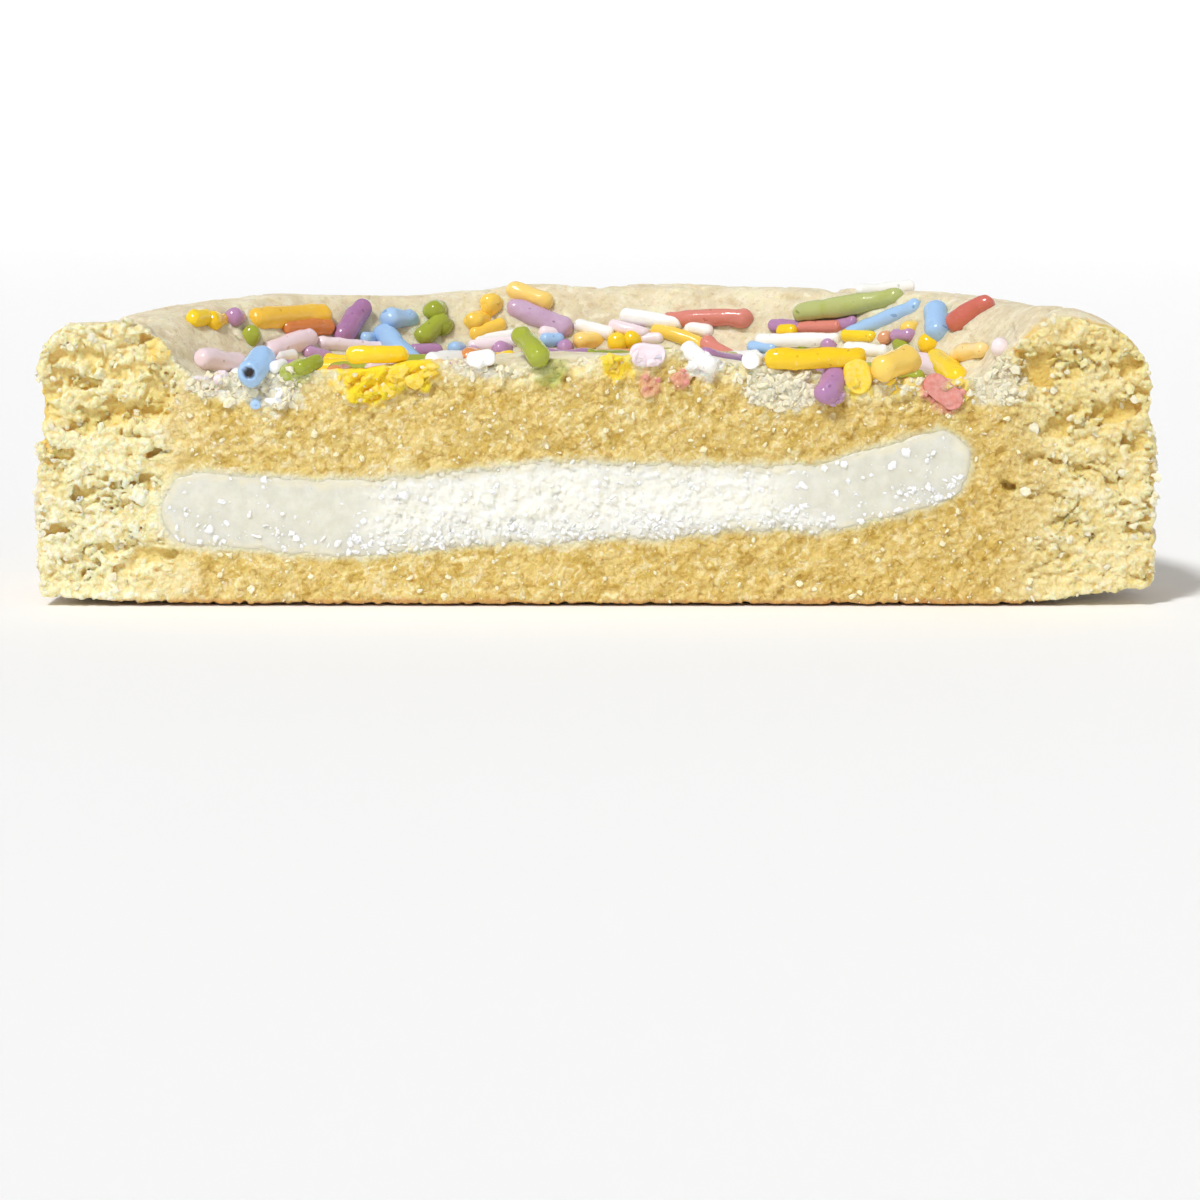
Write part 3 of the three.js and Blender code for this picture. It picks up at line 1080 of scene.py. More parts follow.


# Read from the photograph, left to right in three depths.
RODS = (
    Rod("yellow", 190, 318, 200, 318, 21, 0.9, tint=0.6),
    Rod("yellow", 207, 319, 217, 322, 21, 0.7, tint=0.1),
    Rod("violet", 233, 312, 236, 324, 22, 0.8, tint=0.35),
    Rod("amber", 258, 319, 319, 314, 24, tint=0.1),
    Rod("tangerine", 288, 328, 326, 328, 18, tint=0.15),
    Rod("green", 250, 334, 253, 339, 21, tint=0.4),
    Rod("violet", 361, 310, 343, 333, 24, tint=0),
    Rod("blue", 384, 315, 400, 324, 27, 0.75, tint=0.7),
    Rod("blue", 361, 339, 371, 339, 15, tint=0.6),
    Rod("pink", 270, 351, 307, 339, 21, tint=0.1),
    Rod("pink", 323, 342, 394, 347, 18, 0.5, tint=0.7),
    Rod("pink", 203, 360, 236, 364, 24, tint=0.2),
    Rod("blue", 263, 359, 252, 374, 27, ends=(1.4, -0.4), hollow=(249, 373), tint=0.45),
    Rod("white", 279, 356, 291, 355, 15),
    Rod("white", 276, 367, 282, 365, 14, ends=(0.3, 0.9)),
    Rod("violet", 308, 352, 326, 357, 16, tint=0.7),
    Rod("green", 302, 368, 317, 362, 15, ends=(-0.1, 1.2), tint=0.3),
    Rod("green", 288, 373, 301, 368, 17, sliced=True, tint=0.9),
    Rod("yellow", 354, 354, 400, 354, 17, ends=(0.6, 1.0), tint=0.45),
    Rod("green", 431, 311, 436, 311, 26, tint=0.3),
    Rod("green", 424, 335, 438, 323, 23, tint=0.4),
    Rod("green", 438, 323, 448, 331, 19, tint=0),
    Rod("amber", 467, 321, 480, 322, 23, tint=0.4),
    Rod("amber", 488, 295, 491, 313, 27, 0.85, tint=0.45),
    Rod("amber", 477, 333, 499, 325, 16, tint=0.3),
    Rod("amber", 515, 291, 543, 300, 21, tint=0.8),
    Rod("violet", 516, 308, 562, 326, 22, tint=0.9),
    Rod("white", 480, 338, 512, 333, 11),
    Rod("pink", 474, 345, 512, 342, 13, tint=0.9),
    Rod("violet", 468, 353, 477, 352, 16, tint=0.8),
    Rod("violet", 496, 350, 506, 350, 17, tint=0.6),
    Rod("blue", 449, 349, 460, 348, 16, tint=0.55),
    Rod("violet", 416, 352, 436, 351, 16, tint=0.3),
    Rod("white", 474, 359, 488, 357, 15, sliced=True),
    Rod("green", 522, 337, 538, 355, 23, ends=(2.6, -0.2), tint=0.6),
    Rod("pink", 546, 333, 558, 332, 15, tint=0.7),
    Rod("blue", 546, 339, 558, 338, 14, tint=0.6),
    Rod("violet", 564, 346, 566, 350, 17, tint=0.5),
    Rod("amber", 576, 341, 591, 341, 23, tint=0.8),
    Rod("white", 581, 325, 607, 332, 15),
    Rod("pink", 614, 324, 644, 332, 14, tint=0.6),
    Rod("yellow", 616, 342, 618, 343, 22, tint=0.6),
    Rod("yellow", 628, 341, 634, 339, 19, tint=0.3),
    Rod("white", 627, 316, 677, 323, 16),
    Rod("violet", 632, 331, 642, 331, 9, tint=0.5),
    Rod("amber", 657, 330, 700, 344, 15, sag=-2, tint=0.4),
    Rod("pink", 646, 339, 658, 338, 14, tint=0.8),
    Rod("pink", 640, 355, 656, 354, 21, sliced=True, tint=0.2),
    Rod("white", 690, 350, 708, 364, 20, ends=(0.9, -0.2)),
    Rod("coral", 708, 343, 729, 356, 19, tint=0.65),
    Rod("coral", 741, 316, 672, 316, 24, 0.6, tint=0.55),
    Rod("white", 691, 327, 706, 330, 16),
    Rod("blue", 753, 345, 772, 347, 14, tint=0.6),
    Rod("white", 747, 360, 753, 360, 19),
    Rod("green", 800, 348, 808, 347, 14, tint=0.05),
    Rod("violet", 823, 345, 834, 344, 17, tint=0.5),
    Rod("white", 762, 340, 835, 338, 16),
    Rod("violet", 775, 323, 851, 320, 16, sag=5, tint=0.25),
    Rod("coral", 802, 328, 837, 327, 14, tint=0.6),
    Rod("yellow", 782, 331, 792, 331, 13, tint=0.3),
    Rod("yellow", 774, 359, 856, 357, 21, ends=(0.5, 0.9), tint=0.15),
    Rod("violet", 833, 377, 829, 391, 26, ends=(0.5, -0.6), tint=0.2),
    Rod("green", 801, 313, 896, 297, 21, tint=0.85),
    Rod("blue", 913, 305, 852, 328, 22, 0.6, sag=5, tint=0.6),
    Rod("white", 862, 291, 908, 287, 14),
    Rod("blue", 936, 313, 938, 332, 25, tint=0.4),
    Rod("coral", 958, 322, 983, 305, 26, 0.7, tint=0),
    Rod("amber", 904, 329, 914, 328, 19, tint=0.7),
    Rod("yellow", 847, 336, 870, 337, 14, tint=0.6),
    Rod("tangerine", 882, 338, 888, 337, 17, tint=0.8),
    Rod("violet", 897, 335, 909, 335, 14, tint=0.6),
    Rod("white", 850, 347, 883, 350, 15),
    Rod("green", 899, 345, 917, 361, 16, tint=0.3),
    Rod("yellow", 926, 345, 930, 343, 22, tint=0.2),
    Rod("yellow", 935, 360, 957, 378, 25, tint=0.5),
    Rod("amber", 884, 368, 907, 359, 26, ends=(-0.2, 1.8), tint=0.7),
    Rod("yellow", 857, 372, 857, 380, 28, sliced=True, tint=0.35),
    Rod("coral", 935, 385, 952, 398, 23, sliced=True, tint=0),
    Rod("amber", 958, 354, 981, 349, 18, tint=1),
    Rod("pink", 999, 340, 1001, 355, 21, tint=1),
)
KINDS = ("yellow", "amber", "tangerine", "coral", "violet", "blue", "green", "pink", "white")
ROD_RINGS = 26
ROD_SIDES = 22
RING_BUNCHING = 0.55  # below 1 sets the rings closer together at the ends
BLUNTNESS = 2.3  # of the ends; 2 would make them half balls
TIP_WIDTH = 0.004  # keeps the last rings open
HOLLOW_WIDTH = 6.0  # photograph pixels from its middle to its edge
HOLLOW_DEPTH = 0.5  # mm


class Placed(NamedTuple):
    """A sprinkle's middle line in mm, through the middles of its round ends."""

    kind: str
    start: np.ndarray
    middle: np.ndarray
    end: np.ndarray
    thickness: float
    taper: float = 1.0
    trimmed: bool = True  # the knife took off what stood out from the cut
    tint: float = 0.5


def rod_mesh(rod, seed):
    """A bent rod with blunt round ends and a slightly dented surface, in mm."""
    radius = rod.thickness / 2
    way = rod.end - rod.start
    way = way / max(np.linalg.norm(way), 1e-6)
    tips = (rod.start - radius * way, rod.end + radius * way)
    half = np.linalg.norm(tips[1] - tips[0]) / 2
    across = np.cross(way, [0.0, 0.0, 1.0])
    if np.linalg.norm(across) < 0.1:
        across = np.array([1.0, 0.0, 0.0])
    across /= np.linalg.norm(across)
    above = np.cross(across, way)
    turn = np.linspace(0, math.pi, ROD_RINGS + 2)[1:-1]
    # -1 at the start and 1 at the end.
    share = np.sign(np.cos(turn)) * -(np.abs(np.cos(turn)) ** RING_BUNCHING)
    over = np.clip((np.abs(share) * half - (half - radius)) / radius, 0, 1)
    narrowing = np.sqrt(np.maximum(1 - over**BLUNTNESS, TIP_WIDTH))
    swell = radius * narrowing * mix(1, rod.taper, (share + 1) / 2)

    def line(t):
        bow = (tips[0] + tips[1]) / 2 - rod.middle
        return rod.middle + t[:, None] * (tips[1] - tips[0]) / 2 + (t**2)[:, None] * bow

    sides = np.linspace(0, 2 * math.pi, ROD_SIDES, endpoint=False)
    ring = np.cos(sides)[:, None] * across + np.sin(sides)[:, None] * above
    skin = line(share)[:, None, :] + swell[:, None, None] * ring[None]
    verts = np.concatenate([skin.reshape(-1, 3), line(np.array([-1.0, 1.0]))])
    core = np.concatenate([np.repeat(line(share * 0.9), ROD_SIDES, 0), line(np.array([-0.8, 0.8]))])
    outward = verts - core
    outward /= np.maximum(np.linalg.norm(outward, axis=1), 1e-6)[:, None]
    shifted = verts + seed * 9.7
    dent = layered(shifted, Layer(0.11, 1.7, 31), Layer(0.045, 0.6, 32))
    verts = verts + outward * (dent * rod.thickness)[:, None]
    faces = []
    for i in range(ROD_RINGS - 1):
        for j in range(ROD_SIDES):
            a, b = i * ROD_SIDES + j, i * ROD_SIDES + (j + 1) % ROD_SIDES
            faces += [(a, b + ROD_SIDES, a + ROD_SIDES), (a, b, b + ROD_SIDES)]
    first, last = len(verts) - 2, len(verts) - 1
    final = (ROD_RINGS - 1) * ROD_SIDES
    for j in range(ROD_SIDES):
        k = (j + 1) % ROD_SIDES
        faces += [(first, k, j), (last, final + j, final + k)]
    return verts, np.array(faces)


SEAT = 0.3  # how far a rod's middle line lies above the dough, in rod radii
DEPTH_STEP = 0.25  # mm between the places that are tried
MOST_TURN = 7.0  # mm that one end can lie further back than the other
# What a place for a sprinkle costs, for each mm or mm squared.
TOO_LONG_COST = 0.5
TURN_COST = 0.004
FAR_COST = 0.003
SUNK_COST = 1.4
OUTSIDE_COST = 4.0


def resting_ends(rod, shape, view, whole):
    """Finds how far back a sprinkle lies and which way it slants, so that it rests on the top
    while it covers its pixels, and isn't much longer than a whole one."""
    thickness = rod.thick * PIXEL
    radius = thickness / 2
    rays = [view.ray(rod.x0, rod.y0), view.ray(rod.x1, rod.y1)]
    depth = np.arange(radius * 0.2, shape.radius - 0.5, DEPTH_STEP)
    turn = np.arange(-MOST_TURN, MOST_TURN + 0.01, DEPTH_STEP)
    first = depth[:, None] - turn[None, :] / 2
    second = depth[:, None] + turn[None, :] / 2
    starts, ends = (
        view.eye + (d - view.eye[1])[..., None] * ray for d, ray in zip((first, second), rays)
    )
    length = np.linalg.norm(ends - starts, axis=-1)
    cost = TOO_LONG_COST * np.maximum(length - (whole - thickness), 0) ** 2 + TURN_COST * np.abs(turn)
    cost = cost + FAR_COST * depth[:, None]
    for share in (0.0, 0.25, 0.5, 0.75, 1.0):
        spot = mix(starts, ends, share)
        gap = spot[..., 2] - shape.top(spot[..., 0], spot[..., 1]) - SEAT * radius
        outside = np.hypot(spot[..., 0], spot[..., 1]) > shape.radius - 2.0
        cost = cost + np.where(gap > 0, gap, gap * SUNK_COST) ** 2 + OUTSIDE_COST * outside
        cost = cost + OUTSIDE_COST * (spot[..., 1] < -0.5)
    best = np.unravel_index(np.argmin(cost), cost.shape)
    start, end = starts[best], ends[best]
    middle = (start + end) / 2
    drop = 0.6 * (middle[2] - shape.top(middle[0], middle[1]) - SEAT * radius)
    return start - [0, 0, drop], end - [0, 0, drop]


def place_rod(rod, shape, view, whole, rng):
    """Lays a sprinkle on the top behind its pixels, or across the cut where it was cut."""
    thickness = rod.thick * PIXEL
    radius = thickness / 2
    rays = [view.ray(rod.x0, rod.y0), view.ray(rod.x1, rod.y1)]
    trimmed = not rod.ends
    if rod.ends or rod.sliced:
        depths = rod.ends or (0.1 * thickness, 0.1 * thickness)
        start, end = (view.eye + (d - view.eye[1]) * ray for d, ray in zip(depths, rays))
    elif math.hypot(rod.x1 - rod.x0, rod.y1 - rod.y0) < rod.thick * 0.75:  # seen end on
        start = view.on_top(shape, (rod.x0 + rod.x1) / 2, (rod.y0 + rod.y1) / 2, radius * 0.5)
        ahead = rays[0] / np.linalg.norm(rays[0])
        aside = (rod.x1 - rod.x0) * PIXEL
        end = start + ahead * (whole * rng.uniform(0.35, 0.6) - thickness) + [aside, 0, 0]
    else:
        start, end = resting_ends(rod, shape, view, whole)
    bow = rng.normal(0, 0.05) * np.linalg.norm(end - start) * np.array([0.3, 1.0, 0.0])
    middle = (start + end) / 2 + bow - [0, 0, rod.sag * PIXEL]
    return Placed(rod.kind, start, middle, end, thickness, rod.taper, trimmed, rod.tint)


MOST_EXTRAS = 60
EXTRA_TRIES = 3000
EXTRAS_BEHIND = 12  # mm back from the cut
EXTRAS_BELOW = 342  # photograph row; lower down the sprinkles in front hide them
EXTRAS_APART = 1.8  # mm between one's middle and the next sprinkle
EXTRAS_REACH = 0.82  # share of the radius


def extra_rods(placed, shape, view, whole, thickness, rng):
    """More sprinkles on the bare stretches of the top that the photograph doesn't show."""
    more = []
    for _ in range(EXTRA_TRIES):
        angle, share = rng.uniform(0.06, math.pi - 0.06), math.sqrt(rng.random()) * EXTRAS_REACH
        x, y = (shape.radius * share * f(angle) for f in (math.cos, math.sin))
        heading = rng.uniform(0, math.pi)
        if len(more) == MOST_EXTRAS:
            break
        middle = np.array([x, y, shape.top(x, y) + thickness])
        clear = min(
            np.hypot(*(middle - other.middle)[:2]) - np.linalg.norm(other.end - other.start) * 0.25
            for other in placed + more
        )
        hidden = y > EXTRAS_BEHIND and view.pixels(middle[None])[0, 1] >= EXTRAS_BELOW
        if clear < EXTRAS_APART or not hidden:
            continue
        half = whole * rng.uniform(0.27, 0.43)
        way = half * np.array([math.cos(heading), math.sin(heading), 0.0])
        ends = [np.array([x, y, 0.0]) + sign * way for sign in (-1, 1)]
        for end in ends:
            end[2] = shape.top(end[0], end[1]) + thickness * 0.15
        middle = (ends[0] + ends[1]) / 2 + rng.normal(0, 0.2, 3) * [1, 1, 0]
        kind = KINDS[rng.integers(len(KINDS))]
        thick, tint = thickness * rng.uniform(0.85, 1.1), rng.uniform(0.2, 0.8)
        more.append(Placed(kind, ends[0], middle, ends[1], thick, tint=tint))
    return more


def join_meshes(parts):
    """Several meshes as one."""
    verts, faces, start = [], [], 0
    for part_verts, part_faces in parts:
        verts.append(part_verts)
        faces.append(part_faces + start)
        start += len(part_verts)
    return np.concatenate(verts), np.concatenate(faces)


def crushed_bits(smear, dough, view, rng):
    """Broken bits of a sprinkle that the knife pressed into the cut face."""
    left, low = view.on_cut(smear.left, smear.bottom)
    right, high = view.on_cut(smear.right, smear.top)
    middle_x, middle_z = (left + right) / 2, (low + high) / 2

    def inside(points):
        away = np.hypot(
            (points[:, 0] - middle_x) / (right - left), (points[:, 2] - middle_z) / (high - low)
        )
        return smooth(0.55, 0.25, away) + 1e-9

    count = int(3 + 0.45 * (right - left) * (high - low) * smear.strength)
    spots = cut_surface_spots(dough, rng, count, inside)
    return lumps(spots, rng.uniform(0.3, 1.1, count) * smear.strength, 0.6, rng, thin=0.5)


class Part(NamedTuple):
    """One sprinkle, or the bits of a crushed one, and what its material needs to know."""

    verts: np.ndarray
    faces: np.ndarray
    sliced: np.ndarray  # 1 where the knife cut it
    hollow: np.ndarray  # 1 in the hole in its end
    tint: float
    rounded: bool


def sprinkle_part(rod, number, view):
    """A placed sprinkle's mesh, with its hole opened and what stood out from the cut sliced off."""
    verts, faces = rod_mesh(rod, number)
    hollow, sliced = np.zeros(len(verts)), np.zeros(len(verts))
    if number < len(RODS) and RODS[number].hollow:
        away = np.linalg.norm(view.pixels(verts) - RODS[number].hollow, axis=1)
        # the hole is a shallow dent; this share also paints its painted shade, a near black
        hollow = smooth(1.2, 0.7, away / HOLLOW_WIDTH) * (verts[:, 1] < rod.middle[1])
        verts[:, 1] += HOLLOW_DEPTH * hollow
    if rod.trimmed:
        face_line = 0.10 * noise(verts, 0.45, 33) - 0.22
        sliced = smooth(0.25, 0.0, verts[:, 1] - face_line)
        verts[:, 1] = np.maximum(verts[:, 1], face_line)
    return Part(verts, faces, sliced, hollow, rod.tint, True)


def build_sprinkles(scene, dough, materials):
    """One piece for each colour, of its whole, cut and crushed sprinkles."""
    shape, view = CookieShape(scene), PhotoView(scene.cookie_stage)
    settings = scene.cookie_sprinkles
    rng = np.random.default_rng(settings.seed)
    whole, thickness = settings.length / MM, settings.thickness / MM
    placed = [place_rod(rod, shape, view, whole, rng) for rod in RODS]
    placed += extra_rods(placed, shape, view, whole, thickness, rng)
    groups = {kind: [] for kind in KINDS}
    for number, rod in enumerate(placed):
        groups[rod.kind].append(sprinkle_part(rod, number, view))
    for smear in SMEARS:
        verts, faces = crushed_bits(smear, dough, view, rng)
        all_cut, tint = np.ones(len(verts)), rng.uniform(0.4, 1)
        groups[smear.colour].append(Part(verts, faces, all_cut, 0 * all_cut, tint, False))
    for kind, parts in groups.items():
        verts, faces = join_meshes([part[:2] for part in parts])
        rounded = np.concatenate([np.full(len(part.faces), part.rounded) for part in parts])
        piece = make_piece(f"Sprinkles_{kind}", verts, faces, materials[kind], rounded=rounded)
        store(piece, "sliced", np.concatenate([part.sliced for part in parts]))
        store(piece, "hollow", np.concatenate([part.hollow for part in parts]))
        store(piece, "tint", np.concatenate([np.full(len(part.verts), part.tint) for part in parts]))


# ---------------------------------------------------------------- crumbs and grains


def ball():
    """A 20-sided ball split once: 42 corners and 80 faces."""
    golden = (1 + math.sqrt(5)) / 2
    corners = [
        (-1, golden, 0), (1, golden, 0), (-1, -golden, 0), (1, -golden, 0),
        (0, -1, golden), (0, 1, golden), (0, -1, -golden), (0, 1, -golden),
        (golden, 0, -1), (golden, 0, 1), (-golden, 0, -1), (-golden, 0, 1),
    ]  # fmt: skip
    faces = [
        (0, 11, 5), (0, 5, 1), (0, 1, 7), (0, 7, 10), (0, 10, 11), (1, 5, 9), (5, 11, 4),
        (11, 10, 2), (10, 7, 6), (7, 1, 8), (3, 9, 4), (3, 4, 2), (3, 2, 6), (3, 6, 8),
        (3, 8, 9), (4, 9, 5), (2, 4, 11), (6, 2, 10), (8, 6, 7), (9, 8, 1),
    ]  # fmt: skip
    corners, halves, split = list(map(np.array, corners)), {}, []

    def halfway(a, b):
        key = (min(a, b), max(a, b))
        if key not in halves:
            halves[key] = len(corners)
            corners.append((corners[a] + corners[b]) / 2)
        return halves[key]

    for a, b, c in faces:
        ab, bc, ca = halfway(a, b), halfway(b, c), halfway(c, a)
        split += [(a, ab, ca), (b, bc, ab), (c, ca, bc), (ab, bc, ca)]
    corners = np.array([corner / np.linalg.norm(corner) for corner in corners])
    return corners, np.array(split)


BALL = ball()


def lumps(spots, sizes, roughness, rng, thin=1.0):
    """Many small broken lumps as one mesh; thin ones are pressed flat against the cut."""
    parts = []
    corners, faces = BALL
    for spot, size in zip(spots, sizes):
        stretch = rng.uniform(0.55, 1.45, 3) * size / 2
        shift, turn = rng.uniform(0, 50, 3), rng.uniform(0, math.pi)
        ragged = 1 + roughness * noise(corners * 1.3 + shift, 0.9, 91)
        x, y, z = (corners * ragged[:, None] * stretch * [1, thin, 1]).T
        turned = (x * math.cos(turn) - z * math.sin(turn), y, x * math.sin(turn) + z * math.cos(turn))
        parts.append((np.stack(turned, 1) + spot, faces))
    return join_meshes(parts)


def cut_surface_spots(piece, rng, count, keep):
    """Random points on the piece's cut face, chosen where keep says so with that chance."""
    points = piece_points(piece)
    normals = np.empty(len(points) * 3, np.float32)
    piece.data.vertex_normals.foreach_get("vector", normals)
    facing = -normals.reshape(-1, 3)[:, 1]
    chance = keep(points) * np.clip(facing, 0, 1) * (points[:, 1] < 1.2)
    picked = rng.choice(len(points), count, replace=False, p=chance / chance.sum())
    return points[picked]


DRY_CRUMBS = 150
PALE_CRUMBS = 560  # under the sprinkles
CREAM_GRAINS = 420
# the next two are glossy bits whose pale colour is painted glint
PAINTED_GLINT_GRAINS = 700
PAINTED_GLINT_CRYSTALS = 420


def build_crumbs(scene, dough, filling, materials):
    """Loose bits on the cut faces, half sunk into what carries them."""
    rng = np.random.default_rng(29)
    shape, view = CookieShape(scene), PhotoView(scene.cookie_stage)

    def lacy(points):
        x, y, z = points.T
        edge = np.minimum(shape.top(x, y) - z, shape.radius - np.abs(x))
        return crumb_share(points) * (0.35 + 1.2 * smooth(1.4, 0.2, edge))

    spots = cut_surface_spots(dough, rng, DRY_CRUMBS, lacy)

    def blooming(points):
        return np.max([patch.share(view, points) for patch in BLOOMS], axis=0) + 1e-9

    front = cut_surface_spots(dough, rng, PALE_CRUMBS, blooming)
    sizes = [rng.uniform(0.2, 0.6, len(spots)), 0.18 + 0.55 * rng.random(len(front)) ** 2]
    sizes = np.concatenate(sizes)
    verts, faces = lumps(np.concatenate([spots, front]), sizes, 0.85, rng, thin=0.5)
    make_piece("Crumbs", verts, faces, materials["crumb"], False)

    def fluffy(points):
        x, y, z = points.T
        low = smooth(-0.6, -2.6, z - shape.filling_middle(x))
        return granular_share(points) * (0.25 + 3 * low) + 2 * low * bell(x, 24, 4)

    spots = cut_surface_spots(filling, rng, CREAM_GRAINS, fluffy)
    verts, faces = lumps(spots, rng.uniform(0.15, 0.42, len(spots)), 0.5, rng)
    make_piece("Cream_grains", verts, faces, materials["cream"], False)

    def moist(points):
        return 0.06 + (1 - crumb_share(points)) * (points[:, 1] < 0.5)

    # painted highlight: grains paler than the damp crumb stand in for its glints; their gloss is real
    spots = cut_surface_spots(dough, rng, PAINTED_GLINT_GRAINS, moist)
    verts, faces = lumps(spots, 0.10 + 0.36 * rng.random(len(spots)) ** 3, 0.6, rng)
    make_piece("Dough_glints", verts, faces, materials["damp"], False)

    def waxy(points):
        x, y, z = points.T
        low = smooth(0.5, -2.2, z - shape.filling_middle(x))
        inside = smooth(0.2, 0.6, -shape.filling_distance(points))
        clusters = 0.3 + smooth(0.0, 0.5, noise(points, 1.8, 44))
        return inside * clusters * (0.4 + low) * (1.1 - granular_share(points)) + 1e-9

    # painted highlight: white bits stand in for glints on the cream; their gloss is real
    spots = cut_surface_spots(filling, rng, PAINTED_GLINT_CRYSTALS, waxy)
    verts, faces = lumps(spots, 0.12 + 0.42 * rng.random(len(spots)) ** 2, 0.7, rng, thin=0.6)
    make_piece("Sugar_glints", verts, faces, materials["sugar"], False)


# ---------------------------------------------------------------- materials


def add_node(tree, kind, sockets=None, **settings):
    """Adds a node; each socket gets a value or a link from an output or a node's first output."""
    node = tree.nodes.new(kind)
    for name, value in settings.items():
        setattr(node, name, value)
    for name, value in (sockets or {}).items():
        if isinstance(value, bpy.types.Node):
            value = next(output for output in value.outputs if output.enabled)
        if isinstance(value, bpy.types.NodeSocket):
            tree.links.new(value, node.inputs[name])
        else:
            node.inputs[name].default_value = value
    return node


def start_material(name, clouds=(), stored=()):
    """A new material and what its colours are made from: the place on the piece, a cloudy pattern
    for each pair of feature size in mm and detail, and each value stored at the vertices."""
    material = bpy.data.materials.new(name)
    material.use_nodes = True
    tree = material.node_tree
    tree.nodes.clear()
    place = add_node(tree, "ShaderNodeTexCoord").outputs["Object"] if clouds else None
    patterns, values = [], []
    for size, detail in clouds:
        sockets = {"Vector": place, "Scale": 1 / (size * MM), "Detail": detail, "Roughness": 0.6}
        patterns.append(add_node(tree, "ShaderNodeTexNoise", sockets))
    for attribute in stored:
        node = add_node(tree, "ShaderNodeAttribute", attribute_name=attribute)
        values.append(node.outputs["Fac"])
    return material, tree, place, patterns, values


class Coat(NamedTuple):
    """A colour laid over another one where its share is high."""

    colour: object  # sRGB hex, a linear colour or an output
    share: object  # used as it is, or else smoothed from 0 at low to most at high
    low: float = 0.0
    high: float = None
    most: float = 1.0
    blend: str = "MIX"


def rgba(colour):
    """A colour as a socket takes it; an output stays as it is."""
    if isinstance(colour, (bpy.types.Node, bpy.types.NodeSocket)):
        return colour
    return (*(linear(colour) if isinstance(colour, str) else colour), 1.0)


def painted(tree, colour, *coats):
    """Lays coats over a colour, the first one lowest."""
    for coat in coats:
        share = coat.share
        if coat.high is not None:
            sockets = {"Value": share, "From Min": coat.low, "From Max": coat.high, "To Max": coat.most}
            share = add_node(tree, "ShaderNodeMapRange", sockets, interpolation_type="SMOOTHSTEP")
        sockets = {0: share, 6: rgba(colour), 7: rgba(coat.colour)}
        colour = add_node(tree, "ShaderNodeMix", sockets, data_type="RGBA", blend_type=coat.blend)
    return colour


def finish_material(material, colour, roughness, ior, bumps=(), glow=None):
    """Shades the material. Each bump is a pattern, its strength and its height in mm. Glow is the
    share of light that sinks in, how far its red, green and blue go, and the mm for a 1 of that."""
    tree = material.node_tree
    sockets = {"Base Color": rgba(colour), "Roughness": roughness, "IOR": ior}
    for pattern, strength, height in bumps:
        bump = {"Height": pattern, "Strength": strength, "Distance": height * MM}
        if "Normal" in sockets:
            bump["Normal"] = sockets["Normal"]
        sockets["Normal"] = add_node(tree, "ShaderNodeBump", bump)
    if glow:
        share, reach, scale = glow
        sockets["Subsurface Weight"] = share
        sockets["Subsurface Radius"] = reach
        sockets["Subsurface Scale"] = scale * MM
    shader = add_node(tree, "ShaderNodeBsdfPrincipled", sockets)
    add_node(tree, "ShaderNodeOutputMaterial", {"Surface": shader})
    return material


FACE_START = 0.15 * MM  # the torn face's middle lies this far behind the cut plane
RIGHT_END_SHADE = (0.92, 0.88, 0.76)  # the cut crumb is darker towards its right end
CREAM_SOAKED = "#f0e8cb"  # dough and cream where one has soaked into the other


